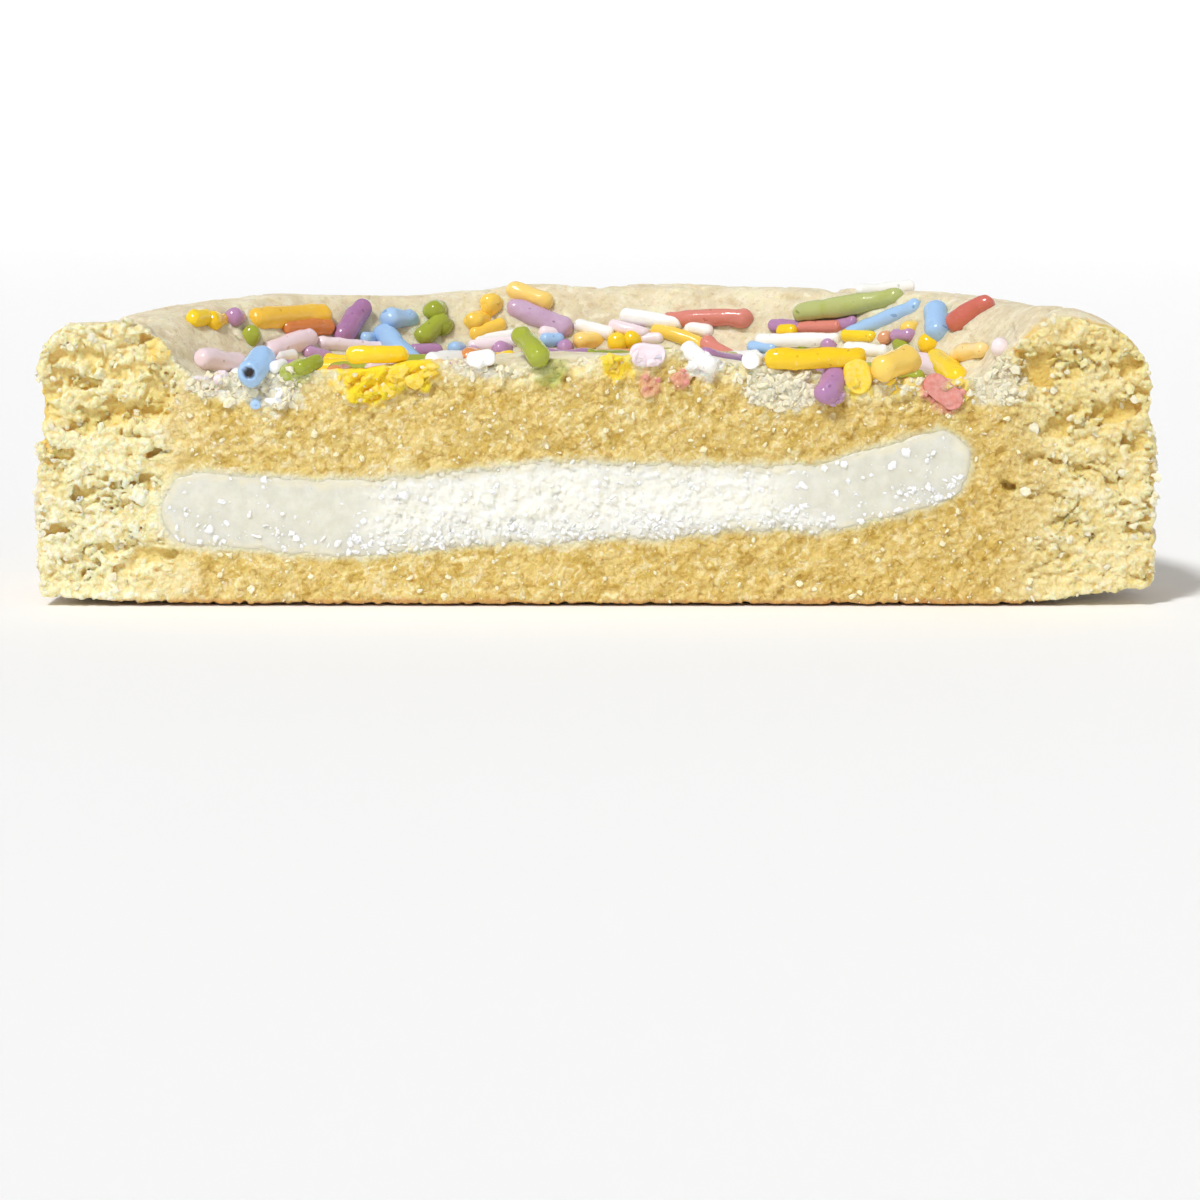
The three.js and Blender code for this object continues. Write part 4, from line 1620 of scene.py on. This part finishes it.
def baked_sugar_dough(settings):
    """Sugar-cookie dough, baked and cut: matte starchy crumb that lets light in a little.

    To the eye it is pale and floury where torn, golden and damp round the filling, with a smooth dry
    pale skin on top and a light toast on the base and the wall. Deeper gold in the holes, in the
    recesses of the torn face and along its flake seams is painted shade; the paler crumb that stands
    out is painted highlight.
    """
    material, tree, place, (coarse, medium, fine), (moist, bloom, creamy, skin, toast) = start_material(
        "baked_sugar_dough",
        clouds=((3.5, 3.0), (0.9, 3.0), (0.3, 2.0)),
        stored=("moist", "bloom", "creamy", "skin", "toast"),
    )
    axes = add_node(tree, "ShaderNodeSeparateXYZ", {"Vector": place})
    sockets = {0: fine, 1: 0.3 * MM, 2: axes.outputs["Y"]}
    back = add_node(tree, "ShaderNodeMath", sockets, operation="MULTIPLY_ADD")

    def depths(low, high):
        """Two depths behind the torn face, in mm, as back measures them."""
        start = CUT_PLANE_Y + FACE_START
        return start + low * MM, start + high * MM

    # Flakes of crumb about 0.4 mm across, their outlines bent by a wandering noise.
    wander = add_node(
        tree, "ShaderNodeTexNoise", {"Vector": place, "Scale": 1 / (0.5 * MM), "Detail": 1.0}
    )
    sockets = {0: wander.outputs["Color"], 1: (0.5 * MM, 0.5 * MM, 0.5 * MM), 2: place}
    warped = add_node(tree, "ShaderNodeVectorMath", sockets, operation="MULTIPLY_ADD")
    sockets = {"Vector": warped, "Scale": 1 / (0.42 * MM), "Randomness": 1.0}
    flakes = add_node(tree, "ShaderNodeTexVoronoi", sockets)

    # Marks of the knife in the damp crumb: broad streaks and finer strokes along its slant.
    slant = add_node(tree, "ShaderNodeMapping", {"Vector": place, "Rotation": (0, KNIFE_SLANT, 0)})
    drawn = add_node(tree, "ShaderNodeMapping", {"Vector": slant, "Scale": (0.5, 0.7, 1.0)})
    sockets = {"Vector": drawn, "Scale": 1 / (1.1 * MM), "Detail": 3.0, "Roughness": 0.7}
    streaks = add_node(tree, "ShaderNodeTexNoise", sockets)
    sockets = {"Vector": slant, "Scale": 1 / (0.75 * MM), "Detail": 2.0, "Roughness": 0.6}
    strokes = add_node(tree, "ShaderNodeTexNoise", {**sockets, "Distortion": 0.9})

    dry = painted(
        tree,
        settings.crumb,
        Coat("#f4e6b0", coarse, 0.35, 0.7),
        # painted shade: golden on dry crumb set back 0.25 to 0.75 mm behind the torn face
        Coat("#f3dc8a", back, *depths(0.25, 0.75), 0.8),
        # painted shade: darker gold along the flake seams, which the flake bump sinks
        Coat("#ecd27e", flakes, 0.45, 0.85, 0.6),
        # painted highlight: near white on dry crumb that stands out in front of the torn face
        Coat("#fffce8", back, *depths(0.10, -0.20), 0.8),
    )
    damp = painted(
        tree,
        "#d8b95f",
        Coat(settings.moist, streaks, 0.36, 0.6),
        # painted shade: darker gold on damp crumb set back behind the torn face
        Coat("#d3b65c", back, *depths(0.0, 0.35), 0.6),
        Coat("#dbbe68", coarse, 0.5, 0.75, 0.4),
        Coat("#faeec4", strokes, 0.54, 0.66, 0.65),
        Coat("#c19a3a", strokes, 0.46, 0.32, 0.75),
        # painted highlight: paler on damp crumb that stands out in front of the torn face
        Coat("#f8ecb8", back, *depths(-0.05, -0.3), 0.7),
    )
    baked = painted(
        tree,
        settings.skin,
        Coat("#dccdab", coarse, 0.35, 0.65),
        Coat("#f7efd8", medium, 0.52, 0.68, 0.6),
        Coat("#cdb78f", medium, 0.44, 0.32, 0.5),
        Coat("#bfa67c", fine, 0.42, 0.30, 0.4),
    )
    stain = add_node(tree, "ShaderNodeAttribute", attribute_name="stain")
    colour = painted(
        tree,
        dry,
        Coat(damp, moist),
        Coat(settings.fat, bloom),
        Coat(CREAM_SOAKED, creamy),
        # painted shade: deeper gold on what lies 0.8 to 1.5 mm behind the torn face
        Coat(settings.hollow, back, *depths(0.8, 1.5), 0.9),
        Coat(RIGHT_END_SHADE, axes.outputs["X"], -20 * MM, 42 * MM, blend="MULTIPLY"),
        Coat(baked, skin),
        Coat(settings.toasted, toast),
        Coat(stain.outputs["Color"], stain.outputs["Alpha"]),
    )
    ragged, wetness = (
        add_node(
            tree,
            "ShaderNodeMapRange",
            {"Value": value, "From Min": low, "To Min": at_low, "To Max": at_high},
            interpolation_type="SMOOTHSTEP",
        )
        for value, low, at_low, at_high in ((skin, 0.0, 0.85, 0.2), (moist, 0.2, 0.82, 0.42))
    )
    bumps = ((flakes, ragged, -0.2), (fine, 0.5, 0.12), (medium, 0.4, 0.25))
    return finish_material(material, colour, wetness, 1.45, bumps, (0.6, (1.3, 0.85, 0.4), 1.0))


def whipped_cream_filling(settings):
    """Cream filling of sugar and fat, set and sliced: satin, and light sinks well into it.

    To the eye the middle is snow white and grainy, and the melted ends are ivory and waxy.
    """
    material, tree, _, (fine, medium), (grainy, edge) = start_material(
        "whipped_cream_filling", clouds=((0.32, 2.0), (1.2, 3.0)), stored=("grainy", "edge")
    )
    white = painted(tree, settings.cream, Coat("#f1efe2", medium, 0.35, 0.7))
    waxy = painted(tree, settings.melted, Coat("#e8e6d9", medium, 0.3, 0.75))
    colour = painted(tree, waxy, Coat(white, grainy), Coat(CREAM_SOAKED, edge, 0.0, 1.0, 0.9))
    sockets = {"Value": grainy, "To Min": 0.36, "To Max": 0.6}
    dullness = add_node(tree, "ShaderNodeMapRange", sockets, interpolation_type="SMOOTHSTEP")
    bumps = ((fine, 0.45, 0.1),)
    return finish_material(material, colour, dullness, 1.46, bumps, (0.5, (1.6, 1.4, 1.0), 1.2))


def pressed_sugar_rod(kind, colour):
    """Sugar paste, coloured, extruded and glazed.

    To the eye it has a waxy shine outside and a few dark pocks, and is dull and pale where cut. The
    pocks are painted shade of tiny pits that the mesh lacks, and the near black in the hole in a
    rod's end is painted shade.
    """
    material, tree, _, (cloudy, fine, pocked), (tint, sliced, hollow) = start_material(
        f"pressed_sugar_rod_{kind}",
        clouds=((1.6, 3.0), (0.35, 2.0), (0.7, 1.0)),
        stored=("tint", "sliced", "hollow"),
    )
    pale = [mix(c, 1.0, 0.35) for c in colour]
    chalky = [mix(c, 1.0, 0.15) for c in colour]
    cut = painted(tree, colour, Coat(chalky, fine, 0.3, 0.7))
    body = painted(
        tree,
        [c**1.3 * 0.95 for c in colour],
        Coat(colour, tint, 0.0, 0.5),
        Coat(pale, tint, 0.6, 1.0, 0.7),
        Coat(colour, cloudy, 0.45, 0.75, 0.5),
        Coat(pale, fine, 0.6, 0.8, 0.4),
        # painted shade: dark spots where tiny pits would be, with no pit in the mesh
        Coat([c**1.6 * 0.6 for c in colour], pocked, 0.70, 0.76, 0.6),
        Coat(cut, sliced),
        # painted shade: near black in the hole in a rod's end, over a shallow dent
        Coat("#2b1c14", hollow),
    )
    sockets = {"Value": sliced, "To Min": 0.2, "To Max": 0.75}
    dullness = add_node(tree, "ShaderNodeMapRange", sockets, interpolation_type="SMOOTHSTEP")
    bumps = ((fine, 0.25, 0.08),)
    return finish_material(material, body, dullness, 1.52, bumps, (0.15, (1.0, 1.0, 1.0), 0.5))


def broken_crumb(name, colour, roughness, glow_scale):
    """Small broken bits; to the eye a slightly paler, drier version of what they fell from. The pale
    colour of the glint bits is painted highlight.
    """
    material, tree, _, (fine,), _ = start_material(name, clouds=((0.25, 2.0),))
    body = painted(tree, colour, Coat([mix(c, 1.0, 0.35) for c in colour], fine, 0.35, 0.7))
    bumps = ((fine, 0.4, 0.08),)
    return finish_material(material, body, roughness, 1.45, bumps, (0.3, (1.0, 0.8, 0.5), glow_scale))


def matte_paper(colour):
    """Seamless white backdrop paper: matte and even, so that only soft shadow shows on it."""
    return finish_material(start_material("backdrop_paper")[0], colour, 0.9, 1.5)


# ---------------------------------------------------------------- stage


FLOOR_REACH = 0.9  # metres from the cookie to where the floor starts to curve up
FLOOR_CURVE = 0.6
FLOOR_DROP = 0.0002  # so that the base doesn't flicker against the floor
BACKDROP_SIDES = 64
CURVE_STEPS = 12


def build_backdrop(colour):
    """A round floor that curves up into a wall all round, far enough out for every camera."""
    profile = [(0.3, 0.0), (0.6, 0.0), (FLOOR_REACH, 0.0)]
    for i in range(1, CURVE_STEPS + 1):
        turn = i / CURVE_STEPS * math.pi / 2
        reach = FLOOR_REACH + FLOOR_CURVE * math.sin(turn)
        profile.append((reach, FLOOR_CURVE * (1 - math.cos(turn))))
    sides = BACKDROP_SIDES
    angles = [2 * math.pi * i / sides for i in range(sides)]
    verts = [(0.0, 0.0, -FLOOR_DROP)]
    for reach, height in profile:
        verts += [(reach * math.cos(a), reach * math.sin(a), height - FLOOR_DROP) for a in angles]
    faces = [(0, 1 + i, 1 + (i + 1) % sides) for i in range(sides)]
    for ring in range(len(profile) - 1):
        for i in range(sides):
            a, b = 1 + ring * sides + i, 1 + ring * sides + (i + 1) % sides
            faces.append((a, a + sides, b + sides, b))
    mesh = bpy.data.meshes.new("Backdrop")
    mesh.from_pydata(verts, [], faces)
    mesh.polygons.foreach_set("use_smooth", [True] * len(mesh.polygons))
    mesh.materials.append(matte_paper(colour))
    backdrop = bpy.data.objects.new("Backdrop", mesh)
    bpy.context.scene.collection.objects.link(backdrop)


KEY_AROUND = math.radians(32)  # from the camera's side, leftwards
KEY_ABOVE = math.radians(50)
KEY_WIDTH = math.radians(9)  # as seen from the cookie
KEY_STRENGTH = 2.3
SKY_LOW = 1.0  # brightness of the studio at table height
SKY_HIGH = 0.3  # and overhead


def build_key_light():
    """A far-off soft light, high up to the left of the camera."""
    data = bpy.data.lights.new("Key", "SUN")
    data.angle = KEY_WIDTH
    data.energy = KEY_STRENGTH
    light = bpy.data.objects.new("Key", data)
    light.location = (
        -math.sin(KEY_AROUND) * math.cos(KEY_ABOVE),
        -math.cos(KEY_AROUND) * math.cos(KEY_ABOVE),
        math.sin(KEY_ABOVE),
    )
    light.rotation_mode = "QUATERNION"
    light.rotation_quaternion = light.location.to_track_quat("Z", "Y")
    bpy.context.scene.collection.objects.link(light)


def build_world():
    """Even white studio light, brighter round the sides than overhead."""
    world = bpy.data.worlds.new("Studio")
    world.use_nodes = True
    tree = world.node_tree
    tree.nodes.clear()
    way = add_node(tree, "ShaderNodeTexCoord").outputs["Generated"]
    height = add_node(tree, "ShaderNodeSeparateXYZ", {"Vector": way}).outputs["Z"]
    sockets = {"Value": height, "From Min": 0.1, "From Max": 0.6, "To Min": SKY_LOW, "To Max": SKY_HIGH}
    light = add_node(tree, "ShaderNodeMapRange", sockets, interpolation_type="SMOOTHSTEP")
    sky = add_node(tree, "ShaderNodeBackground", {"Color": (1, 1, 1, 1), "Strength": light})
    add_node(tree, "ShaderNodeOutputWorld", {"Surface": sky})
    bpy.context.scene.world = world


def build_camera(view):
    """The photograph's camera: straight on to the cut face and a little above it."""
    data = bpy.data.cameras.new("Camera")
    data.sensor_width = SENSOR
    data.lens = view.lens
    data.clip_start = 0.01
    data.clip_end = 20
    camera = bpy.data.objects.new("Camera", data)
    camera.location = to_world(view.eye)
    camera.rotation_mode = "QUATERNION"
    camera.rotation_quaternion = Vector(view.ahead).to_track_quat("-Z", "Y")
    bpy.context.scene.collection.objects.link(camera)
    bpy.context.scene.camera = camera


# ---------------------------------------------------------------- operators and panel


def found(name):
    """A piece that an earlier step built."""
    piece = bpy.data.objects.get(name)
    if piece is None:
        raise RuntimeError(f"build {name} first")
    return piece


class COOKIE_OT_stage(bpy.types.Operator):
    """Sets the floor, lights, world and camera"""

    bl_idname = "cookie.stage"
    bl_label = "Stage"

    def execute(self, context):
        stage = context.scene.cookie_stage
        build_backdrop(tuple(stage.floor))
        build_key_light()
        build_world()
        build_camera(PhotoView(stage))
        context.scene.view_settings.view_transform = "Standard"
        context.scene.view_settings.look = "None"
        return {"FINISHED"}


class COOKIE_OT_dough(bpy.types.Operator):
    """Builds the cut half of the baked dough"""

    bl_idname = "cookie.dough"
    bl_label = "Dough"

    def execute(self, context):
        build_dough(context.scene, baked_sugar_dough(context.scene.cookie_dough))
        return {"FINISHED"}


class COOKIE_OT_filling(bpy.types.Operator):
    """Builds the cream filling that shows on the cut face"""

    bl_idname = "cookie.filling"
    bl_label = "Filling"

    def execute(self, context):
        build_filling(context.scene, whipped_cream_filling(context.scene.cookie_filling))
        return {"FINISHED"}


class COOKIE_OT_sprinkles(bpy.types.Operator):
    """Lays the sprinkles on the top, one piece for each colour"""

    bl_idname = "cookie.sprinkles"
    bl_label = "Sprinkles"

    def execute(self, context):
        settings = context.scene.cookie_sprinkles
        materials = {k: pressed_sugar_rod(k, tuple(getattr(settings, k))) for k in KINDS}
        build_sprinkles(context.scene, found("Dough"), materials)
        return {"FINISHED"}


class COOKIE_OT_crumbs(bpy.types.Operator):
    """Scatters crumbs, cream grains, and damp grains and sugar crystals whose pale colour is painted
    glint, over the cut face
    """

    bl_idname = "cookie.crumbs"
    bl_label = "Crumbs and grains"

    def execute(self, context):
        scene = context.scene
        materials = {
            "crumb": broken_crumb("broken_dough_crumb", linear("#f6ebc4"), 0.85, 0.6),
            "cream": broken_crumb("broken_cream_grain", linear("#fbfaf2"), 0.55, 0.8),
            # painted highlight: the next two are glint bits, glossy and paler than what carries them
            "damp": broken_crumb("damp_dough_grain", linear("#fbedbe"), 0.12, 0.4),
            "sugar": broken_crumb("damp_sugar_crystal", linear("#ffffff"), 0.12, 0.3),
        }
        build_crumbs(scene, found("Dough"), found("Filling"), materials)
        return {"FINISHED"}


class COOKIE_PT_panel(bpy.types.Panel):
    """Lists the settings and the steps in the order that they are run"""

    bl_idname = "COOKIE_PT_panel"
    bl_label = "Sprinkle Cookie"
    bl_space_type = "VIEW_3D"
    bl_region_type = "UI"
    bl_category = "Cookie"

    def draw(self, context):
        for operator, settings in STEPS:
            box = self.layout.box()
            box.operator(operator.bl_idname)
            if settings:
                group = getattr(context.scene, settings)
                for name in group.__annotations__:
                    box.prop(group, name)


STEPS = (
    (COOKIE_OT_dough, "cookie_dough"),
    (COOKIE_OT_filling, "cookie_filling"),
    (COOKIE_OT_sprinkles, "cookie_sprinkles"),
    (COOKIE_OT_crumbs, None),
    (COOKIE_OT_stage, "cookie_stage"),
)
SETTINGS = {
    "cookie_dough": CookieDoughSettings,
    "cookie_filling": CookieFillingSettings,
    "cookie_sprinkles": CookieSprinkleSettings,
    "cookie_stage": CookieStageSettings,
}


def register():
    for name, group in SETTINGS.items():
        bpy.utils.register_class(group)
        setattr(bpy.types.Scene, name, bpy.props.PointerProperty(type=group))
    for operator, _ in STEPS:
        bpy.utils.register_class(operator)
    bpy.utils.register_class(COOKIE_PT_panel)


def unregister():
    bpy.utils.unregister_class(COOKIE_PT_panel)
    for operator, _ in reversed(STEPS):
        bpy.utils.unregister_class(operator)
    for name, group in SETTINGS.items():
        delattr(bpy.types.Scene, name)
        bpy.utils.unregister_class(group)


def main():
    register()
    for operator, _ in STEPS:
        category, name = operator.bl_idname.split(".")
        getattr(getattr(bpy.ops, category), name)()


if __name__ == "__main__":
    main()
